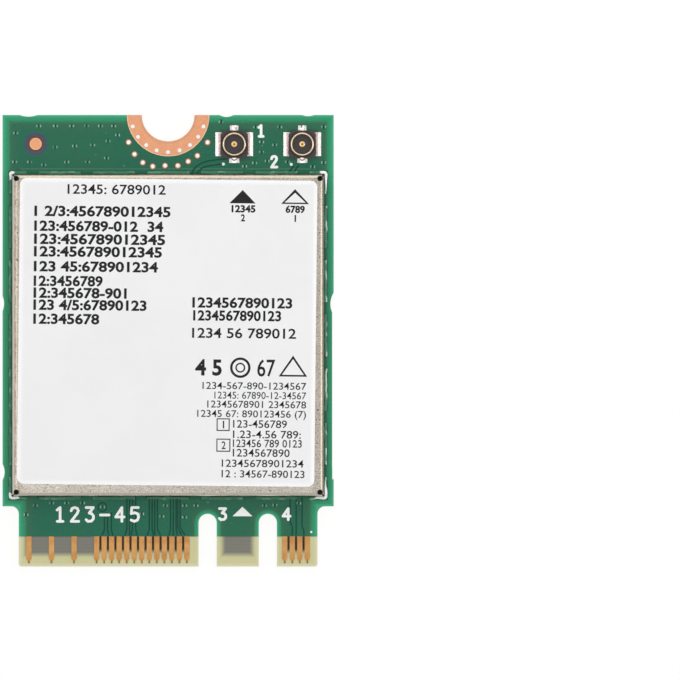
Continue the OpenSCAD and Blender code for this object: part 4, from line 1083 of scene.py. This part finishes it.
TRACK_END = -12.38
under_tracks = [
    [(9.88, -8.0), (9.3, -8.45), (9.3, TRACK_END)], [(8.36, -8.15), (8.36, TRACK_END)],
    [(5.43, -6.52), (5.43, -9.2), (6.68, -10.32), (7.74, -11.27), (8.05, -11.77), (8.05, TRACK_END)],
    [(5.24, -6.52), (5.24, -9.37), (6.38, -10.4)],
    [(4.97, -6.52), (4.97, -9.72), (5.54, -10.17), (5.65, -10.48), (5.65, TRACK_END)],
    [(5.12, -6.52), (5.12, -9.56), (5.65, -9.98), (5.88, -10.1)], [(5.46, -10.78), (5.46, TRACK_END)],
    [(-1.9, -4.23), (-1.9, -5.03)],
    [(9.88, -8.13), (9.88, -6.11), (9.49, -5.69), (9.15, -5.53), (8.79, -5.71), (8.35, -6.24),
     (8.35, -8.13)],
    [(5.49, -6.54), (5.49, -3.37), (5.32, -3.12)],
    [(5.32, -6.54), (5.32, -3.31), (4.85, -2.88)],
    [(5.13, -6.54), (5.13, -3.61), (4.97, -3.37), (4.63, -2.94)],
    [(4.97, -6.54), (4.97, -3.73), (4.67, -3.43)],
    [(-0.89, -7.88), (-0.89, -6.11), (-1.2, -5.81), (-1.2, -4.47), (-0.95, -3.98)],
    [(-1.07, -8.25), (-1.07, -6.24), (-1.4, -5.93), (-1.4, -4.22), (-1.13, -3.61)],
    [(-1.62, -6.17), (-1.62, -4.71)],
    [(-1.87, -6.42), (-2.17, -6.78), (-2.17, -8.49)],
    [(-2.35, -8.43), (-2.35, -6.17), (-2.11, -5.81)],
    [(-2.54, -6.91), (-2.54, -5.93), (-2.32, -5.5), (-2.05, -5.75)],
    [(-2.54, -6.91), (-3.15, -7.52), (-3.15, -8.49)],
    [(-3.31, -8.6), (-3.31, -4.32)],
    [(-3.54, -8.6), (-3.54, -4.32)],
    [(-1.13, -7.03), (-1.62, -7.64), (-1.62, -8.13)],
    [(-0.93, -8), (-0.93, -9.71)],
    [(-1.13, -8.43), (-1.13, -9.22), (-1.44, -9.59), (-2.48, -10.69)],
    [(-2.88, -11.12), (-2.88, TRACK_END)],
    [(-3.27, -10.69), (-3.88, -11.42)],
    [(-4.31, -11.3), (-3.39, -12.1), (-3.39, TRACK_END)],
    [(-4.85, -11.35), (-3.88, -12.2), (-3.88, TRACK_END)],
    [(-4.97, -11.5), (-4.97, -11.8), (-4.43, -12.25), (-4.43, TRACK_END)],
    [(-3.57, -9.59), (-4.43, -10.32)],
    [(-2.48, -9.71), (-2.48, -10.93)],
    [(-8.19, -10.08), (-8.19, TRACK_END)],
    [(-9.19, -10.2), (-9.19, TRACK_END)],
    [(-8.15, -9.71), (-8.76, -8.86), (-9.37, -9.47)],
    [(-7.23, -6.54), (-7.23, -5.93), (-7.6, -5.66), (-8.33, -6.3), (-8.33, -6.66), (-7.6, -6.97),
     (-7.23, -6.54)],
]
under_rings = [ring_path(x, y, 0.27, 20) for x, y in (
    (-3.79, 1.75), (-5.5, 1.48), (-5.5, 0.23), (-5.5, -0.93), (-3.9, -1.2), (-3.9, -2.11), (5.25, 5.24),
    (4.85, -1.63), (5.16, -2.52), (3.27, -2.82), (3.55, -5.63), (2.63, -5.71), (3, -3.8), (0.77, -3.98),
    (9.65, -3.15), (9.65, -2.6),
)]
under_grooves = [drawn_lines(under_tracks, 0.13), drawn_lines(under_rings, 0.13, closed=True)]
settle(joined(under_grooves, 1.4 * PRINT), "track_gaps_underside", groove_finish)

under_dimples = [
    (10.25, 14.26), (7.31, 14.26), (5.77, 14.26), (3.41, 14.21), (6.57, 13.82), (6.07, 13.24),
    (7.03, 13.02), (6.07, 12.5), (7.12, 12.34), (10.27, 11.84), (9.53, 11.6), (7.89, 11.9), (7.31, 11.54),
    (6.43, 11.9), (5.63, 11.82), (4.98, 11.6), (8.24, 10.39), (9.48, 10.17), (8.63, 9.73), (7.72, 9.78),
    (6.38, 10.17), (5.8, 9.89), (4.45, 10.25), (2.97, 10.11), (10.27, 9.46), (9.53, 9.51), (7.06, 9.32),
    (5.22, 9.54), (3.9, 9.73), (2.97, 9.35), (8.96, 9.07), (8.04, 9.02), (6.41, 9.02), (5.8, 8.69),
    (4.43, 9.13), (3.3, 8.63), (7.61, 8.36), (6.6, 8.4), (5.06, 8.3), (4.21, 7.85), (7.36, 7.06),
    (5.91, 7.06), (1.69, 6.43), (1.11, 6.16), (-0.5, 6.43), (-1.11, 6.16), (2.4, 5.57), (0.18, 5.55),
    (1.73, 5.27), (-0.46, 5.26), (1.11, 4.95), (1.91, 4.68), (-0.29, 4.68), (-1.68, 5.77), (-2.79, 6.57),
    (-2.83, 5.81), (-3.32, 7.28), (-4.16, 7.19), (-3.61, 6.83), (-4.85, 7.1), (-5.43, 6.85), (-5.67, 6.3),
    (-6.38, 6.57), (-7, 6.54), (-8.22, 6.5), (-8.82, 6.48), (-9.4, 7.3), (-9.34, 5.73), (-10.06, 5.45),
    (-9.26, 5.06), (-2.66, 5.02), (-3.61, 4.75), (-4.21, 4.72), (-5.63, 4.93), (-2.94, 4.48),
    (-0.82, 3.66), (-8.09, 4.1), (-8.64, 3.61), (-5.89, 3.42), (-6.47, 3.3), (1.13, 3.06), (0.62, 3.08),
    (0.07, 3.06), (-0.5, 3.06), (-1.12, 3.06), (-1.74, 3.06), (-2.32, 3.06), (-3.14, 2.4), (-3.01, 1.82),
    (-3.07, 1.22), (-3.1, 0.51), (-7.45, 2.64), (-8.82, 2.92), (-5.67, 2.15), (-7.05, 2.21),
    (-8.82, 2.15), (-10.28, 1.89), (2.38, 0.95), (-7.4, 0.88), (-8.82, 0.73), (-7.09, 0.42),
    (-3.41, -0.6), (-7.58, -0.22), (-8.88, -0.31), (-3.17, -1.26), (-3.1, -2.12), (-3.1, -2.75),
    (-7.12, -1.77), (-10.2, -1.59), (-5.52, -2.26), (-8.91, -3.04), (-3.23, -3.45), (-7.58, -3.41),
    (-6.91, -3.73), (1.29, -3.6), (0.2, -3.61), (-1.7, -3.5), (-2.42, -3.64), (-10.2, -5.18),
    (9.46, -6.56), (8.85, -6.56), (7.9, -6.6), (5.69, -6.56), (7.99, -7.36), (7.12, -7.09), (5.78, -7.07),
    (4.29, -7.25), (2.5, -6.88), (0.48, -7.11), (3.81, -7.59), (3.27, -8.07), (2.54, -8.42),
    (3.22, -9.05), (1, -8.16), (0.52, -8.46), (0.07, -8.97), (8.09, -8.14), (7.11, -8.02), (5.83, -8.32),
    (8.01, -8.84), (7.36, -8.83), (9.8, -8.35), (9.68, -9.2), (1.93, -9.64), (1.97, -10.97),
    (1.17, -10.96), (5.01, -11.41), (1.19, -11.75), (-0.31, -11.75), (-3.81, 2.62), (-3.81, 1.73),
    (-5.5, 1.49), (-3.81, 0.78), (-3.77, 0.11), (-5.5, 0.2), (-5.5, -0.91), (-3.9, -1.17), (-3.9, -2.11),
    (0.76, -3.92), (-1.15, -3.66), (-2.97, -3.97), (-2.35, -5.7), (-7.58, -5.92), (-1.59, -6.32),
    (-3.78, 14.2), (-4.59, 14.17), (-5.55, 14.17), (-6.54, 14.17), (-7.56, 14.17), (-8.7, 14.17),
    (-10.17, 13.65), (-3.37, 13.62), (-4.1, 13.16), (-5.12, 12.94), (-6.31, 12.82), (-7.6, 12.76),
    (-3.13, 12.51), (-4.16, 12.03), (-5.46, 11.78), (-6.83, 11.78), (-8.37, 11.58), (-9.31, 11.75),
    (-10.26, 11.7), (-2.55, 11.67), (-3.33, 11.67), (-4.48, 10.89), (-8.32, 10.61), (-1.39, 10.61),
    (-1.87, 9.94), (-3.01, 9.78), (-4.17, 9.62), (-5.34, 9.75), (-6.23, 9.97), (-7.33, 10.16),
    (-8.87, 10.07), (-0.71, 9.7), (-0.22, 9.36), (-1.37, 9.36), (0.23, 9.76), (-2.09, 8.96),
    (-4.68, 8.89), (-6.07, 9.11), (-7.11, 9.26), (-8.05, 9.22), (-9.47, 9.48), (-10.08, 9.01),
    (-3.21, 8.7), (-6.39, 8.65), (-6.98, 8.7), (-7.61, 8.68), (-8.36, 8.71), (-9.06, 8.71), (-5.56, 8.4),
    (-1.35, 8.27), (-4.78, 8.04), (-2.28, 7.73), (-5.59, 7.62), (-9.39, 7.92), (2, 10.29), (0.67, 10.27),
    (2.45, 9.72), (1.49, 9.72), (2.13, 9.16), (1.17, 9.16), (1.58, 8.93), (1.19, 8.31), (0.2, 8.38),
    (3.79, 6.43), (5.58, 5.78), (5.25, 5.24), (3.3, 5.12), (4.64, 4.93), (6.74, 4.62), (6.95, 5.61),
    (3.21, 2.77), (2.23, 2.03), (3.33, 1.81), (2.44, 1.55), (3.12, 0.06), (3.27, -0.53), (2.53, -0.75),
    (3.24, -1.26), (2.53, -1.6), (3.21, -2.05), (2.66, -2.48), (3.27, -2.82), (4.85, -0.95),
    (4.85, -1.63), (5.16, -2.52), (7.17, -1.72), (5.77, -2.21), (9, -2.24), (9.65, -2.6), (9.65, -3.15),
    (10.32, -1.6), (7.15, -3.03), (8.94, -3.27), (5.77, -3.21), (6.5, 1.51), (5.46, 1.02), (6.07, 1.51),
    (2.72, -3.25), (3, -3.8), (5.77, -4.04), (1.31, -4.06), (3.55, -5.63), (2.63, -5.71), (10.32, -5.05),
    (7.44, -4.98), (9.18, -5.87), (6.38, -9.63), (3.67, -9.74), (2.68, -9.63), (3.97, -11.36),
    (-0.59, -3.55), (-0.28, -4.04), (-1.99, -4.1), (-3.9, -3.92), (-7.6, -3.98), (-0.79, -5.69),
    (-1.56, -7.09), (-2.96, -6.91), (-1.81, -8.19), (-4.22, -6.42), (-4.61, -6.81), (-5.1, -7.27),
    (-6.07, -7.27), (-8.11, -6.5), (-7.6, -6.66), (-8.84, -6.87), (-7.78, -7.49), (-8.36, -7.42),
    (-9.59, -8.41), (-8.7, -9.04), (-9.61, -9.04), (-1.56, -11.54), (-0.04, -10.99), (-3.45, -11.66),
    (-5.46, -11.7), (-6.48, -11.73), (-7.42, -11.79), (-7.66, -11.14), (-4.18, -11.18), (-4.18, -8.41),
    (-6.56, -8.41), (-2.66, -8.43),
]
settle(dimples(under_dimples, PRINT, -1), "covered_holes_underside", dimple_finish)
bpy.data.objects.remove(dimple)


# Pen ring: a marker pen left a thin open ring and a short stroke on the underside's mask, in dark
# ink that thins out towards the ends.
ring_stroke = [(-1.15, 4.81), (-1.45, 4.2), (-1.55, 3.57), (-1.46, 3.13), (-1.64, 2.15), (-2.26, 1.0),
               (-3.06, 0.29), (-4.21, -0.42), (-5.45, -0.6), (-6.69, -0.42), (-7.93, 0.29), (-8.73, 1.18),
               (-9.26, 2.42), (-9.4, 3.48), (-9.18, 4.63), (-8.56, 5.7), (-7.58, 6.59), (-6.52, 7.12),
               (-5.72, 7.34), (-4.65, 7.47)]
short_stroke = [(-2.13, 5.61), (-2.61, 5.52), (-3.32, 5.48), (-3.94, 5.26), (-4.48, 4.99)]


def smooth_path(path):
    """The same path with three places more between each two, on an even curve through them all."""
    rounder = []
    for i in range(len(path) - 1):
        near = (path[max(i - 1, 0)], path[i], path[i + 1], path[min(i + 2, len(path) - 1)])
        for t in (0.0, 0.25, 0.5, 0.75):
            rounder.append(tuple(0.5 * (2 * b + (c - a) * t + (2 * a - 5 * b + 4 * c - d) * t ** 2
                                        + (3 * b - a - 3 * c + d) * t ** 3) for a, b, c, d in zip(*near)))
    return rounder + [path[-1]]


pen_finish, tree, place = new_finish("pen_ink", Roughness=0.5, Specular_IOR_Level=0.3)
worn = grain(tree, place, 0.35, 4.0)
feed(tree, Base_Color=mix(tree, ramp(tree, worn, 0.35, 0.7), tint(8, 62, 56), tint(22, 82, 66)),
     Height=worn, Rise=0.001 * MM)
pen_lines = drawn_lines([smooth_path(ring_stroke), smooth_path(short_stroke)], 0.24,
                        rise=0.5 * PRINT, taper=0.35)
settle(joined([pen_lines], PRINT), "pen_ring_underside", pen_finish)


# Coax receptacles, main and aux: a dark moulded insulator, a drawn ring with soldered tabs and a
# centre pin, both gold on nickel. The tabs' outer halves are wetted with tin, and the housing's
# two corners towards the notch end are cut.
HOUSING_CUT = 1.56 * MM
NOTCH_TAB_UP, TAIL_DOWN = 0.94, 0.88


def housing_finish(name, middle):
    """Dark plastic, painted browner in the trough between the ring and the pin as painted shade."""
    made, tree, place = new_finish(name, Roughness=0.45)
    away = off_round(tree, place, middle)
    fine = grain(tree, place, 0.08)
    plastic = mix(tree, fine, tint(40, 33, 38), tint(72, 64, 70))
    trough_shade = times(tree, ramp(tree, away, 1.02, 0.84), ramp(tree, away, 0.6, 0.72))
    feed(tree, Base_Color=wash(tree, plastic, tint(34, 16, 6), trough_shade, 0.85),
         Roughness=spread(tree, fine, 0.38, 0.55), Height=fine, Rise=0.004 * MM)
    return made


def ring_finish(name, middle):
    """Gold, with tabs that the tin has wetted: whole at the sides, half way at the notch end."""
    made, tree, place = new_finish(name, Metallic=0.85, Roughness=0.28)
    blotch = grain(tree, place, 0.15)
    gold = mix(tree, blotch, tint(228, 204, 164), tint(250, 236, 208))
    sideways = calc(tree, "ABSOLUTE", minus(tree, axis(tree, place, "X"), middle[0]))
    side_tab = mix(tree, ramp(tree, sideways, 1.02, 1.08), tint(196, 174, 166), tint(250, 247, 242))
    melt = grain(tree, place, 0.12)
    notch_tab = mix(tree, ramp(tree, melt, 0.38, 0.5), tint(112, 116, 104), tint(250, 248, 244))
    beyond = minus(tree, axis(tree, place, "Y"), middle[1] + NOTCH_TAB_UP)
    tab = mix(tree, ramp(tree, beyond, -0.02, 0.06), side_tab, notch_tab)
    feed(tree, Base_Color=mix(tree, ramp(tree, off_round(tree, place, middle), 0.8, 0.86), gold, tab),
         Roughness=spread(tree, blotch, 0.22, 0.36), Height=blotch, Rise=0.003 * MM)
    return made


def pin_finish(name, middle):
    """Gold, painted darker in the pin's hollow as painted shade, with a tinned tail and a painted shade
    where the tail goes under.
    """
    made, tree, place = new_finish(name, Metallic=0.85, Roughness=0.28)
    away = off_round(tree, place, middle)
    blotch = grain(tree, place, 0.1)
    gold = mix(tree, blotch, tint(232, 194, 122), tint(250, 226, 172))
    gold = mix(tree, ramp(tree, away, 0.11, 0.07), gold, tint(168, 112, 48))
    off_tail = off_round(tree, place, (middle[0], middle[1] - TAIL_DOWN))
    shade = times(tree, ramp(tree, off_tail, 0.12, 0.16), ramp(tree, off_tail, 0.25, 0.2))
    tail = mix(tree, shade, tint(250, 248, 244), tint(96, 88, 84))
    feed(tree, Base_Color=mix(tree, ramp(tree, away, 0.9, 0.96), gold, tail), Height=blotch,
         Rise=0.003 * MM)
    return made


for name in ("main", "aux"):
    middle = middle_of(name + "_coax_insulator")
    housing = copy_of(bpy.data.objects[name + "_coax_insulator"])
    for corner in housing.data.vertices:
        across, up = corner.co.x - middle[0] * MM, corner.co.y - middle[1] * MM
        past_cut = abs(across) + up - HOUSING_CUT
        if past_cut > 0:
            corner.co.x -= math.copysign(past_cut / 2, across)
            corner.co.y -= past_cut / 2
    weld(housing)
    settle(housing, name + "_coax_housing", housing_finish(name + "_insulator_plastic", middle))
    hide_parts(name + "_coax_insulator")
    dress(ring_finish(name + "_ring_gold", middle), name + "_coax_ring")
    dress(pin_finish(name + "_pin_gold", middle), name + "_coax_pin")


# Parts under the can: a moulded radio chip with tinned terminals, front-end modules, a crystal in
# a ceramic cup, filters, a memory chip, wound inductors, capacitors and resistors.
def moulded_finish(name, dark, light, size, rough):
    """A dull pressed or fired skin between two tones, with pale flecks of filler."""
    made, tree, place = new_finish(name, Roughness=rough)
    fine = grain(tree, place, size, 4.0)
    fleck = specks(tree, place, 0.12, 0.5)
    skin = mix(tree, spread(tree, fine), dark, light)
    feed(tree, Base_Color=wash(tree, skin, tint(150, 150, 150), fleck, 0.25),
         Roughness=spread(tree, fine, rough - 0.08, rough + 0.1), Height=plus(tree, fine, fleck),
         Rise=0.005 * MM)
    return made


dress(moulded_finish("moulding_compound", tint(30, 30, 32), tint(46, 46, 48), 0.06, 0.5),
      "radio_chip", "main_front_end", "aux_front_end", "memory_chip")
dress(moulded_finish("fired_ceramic", tint(176, 150, 118), tint(204, 180, 150), 0.09, 0.42),
      "capacitors", "crystal_base", "main_antenna_filter", "aux_antenna_filter")
dress(moulded_finish("ferrite", tint(58, 58, 60), tint(84, 84, 86), 0.12, 0.6),
      "core_inductor", "radio_inductor")
dress(moulded_finish("resistor_glaze", tint(24, 24, 28), tint(40, 42, 50), 0.1, 0.3), "resistors")
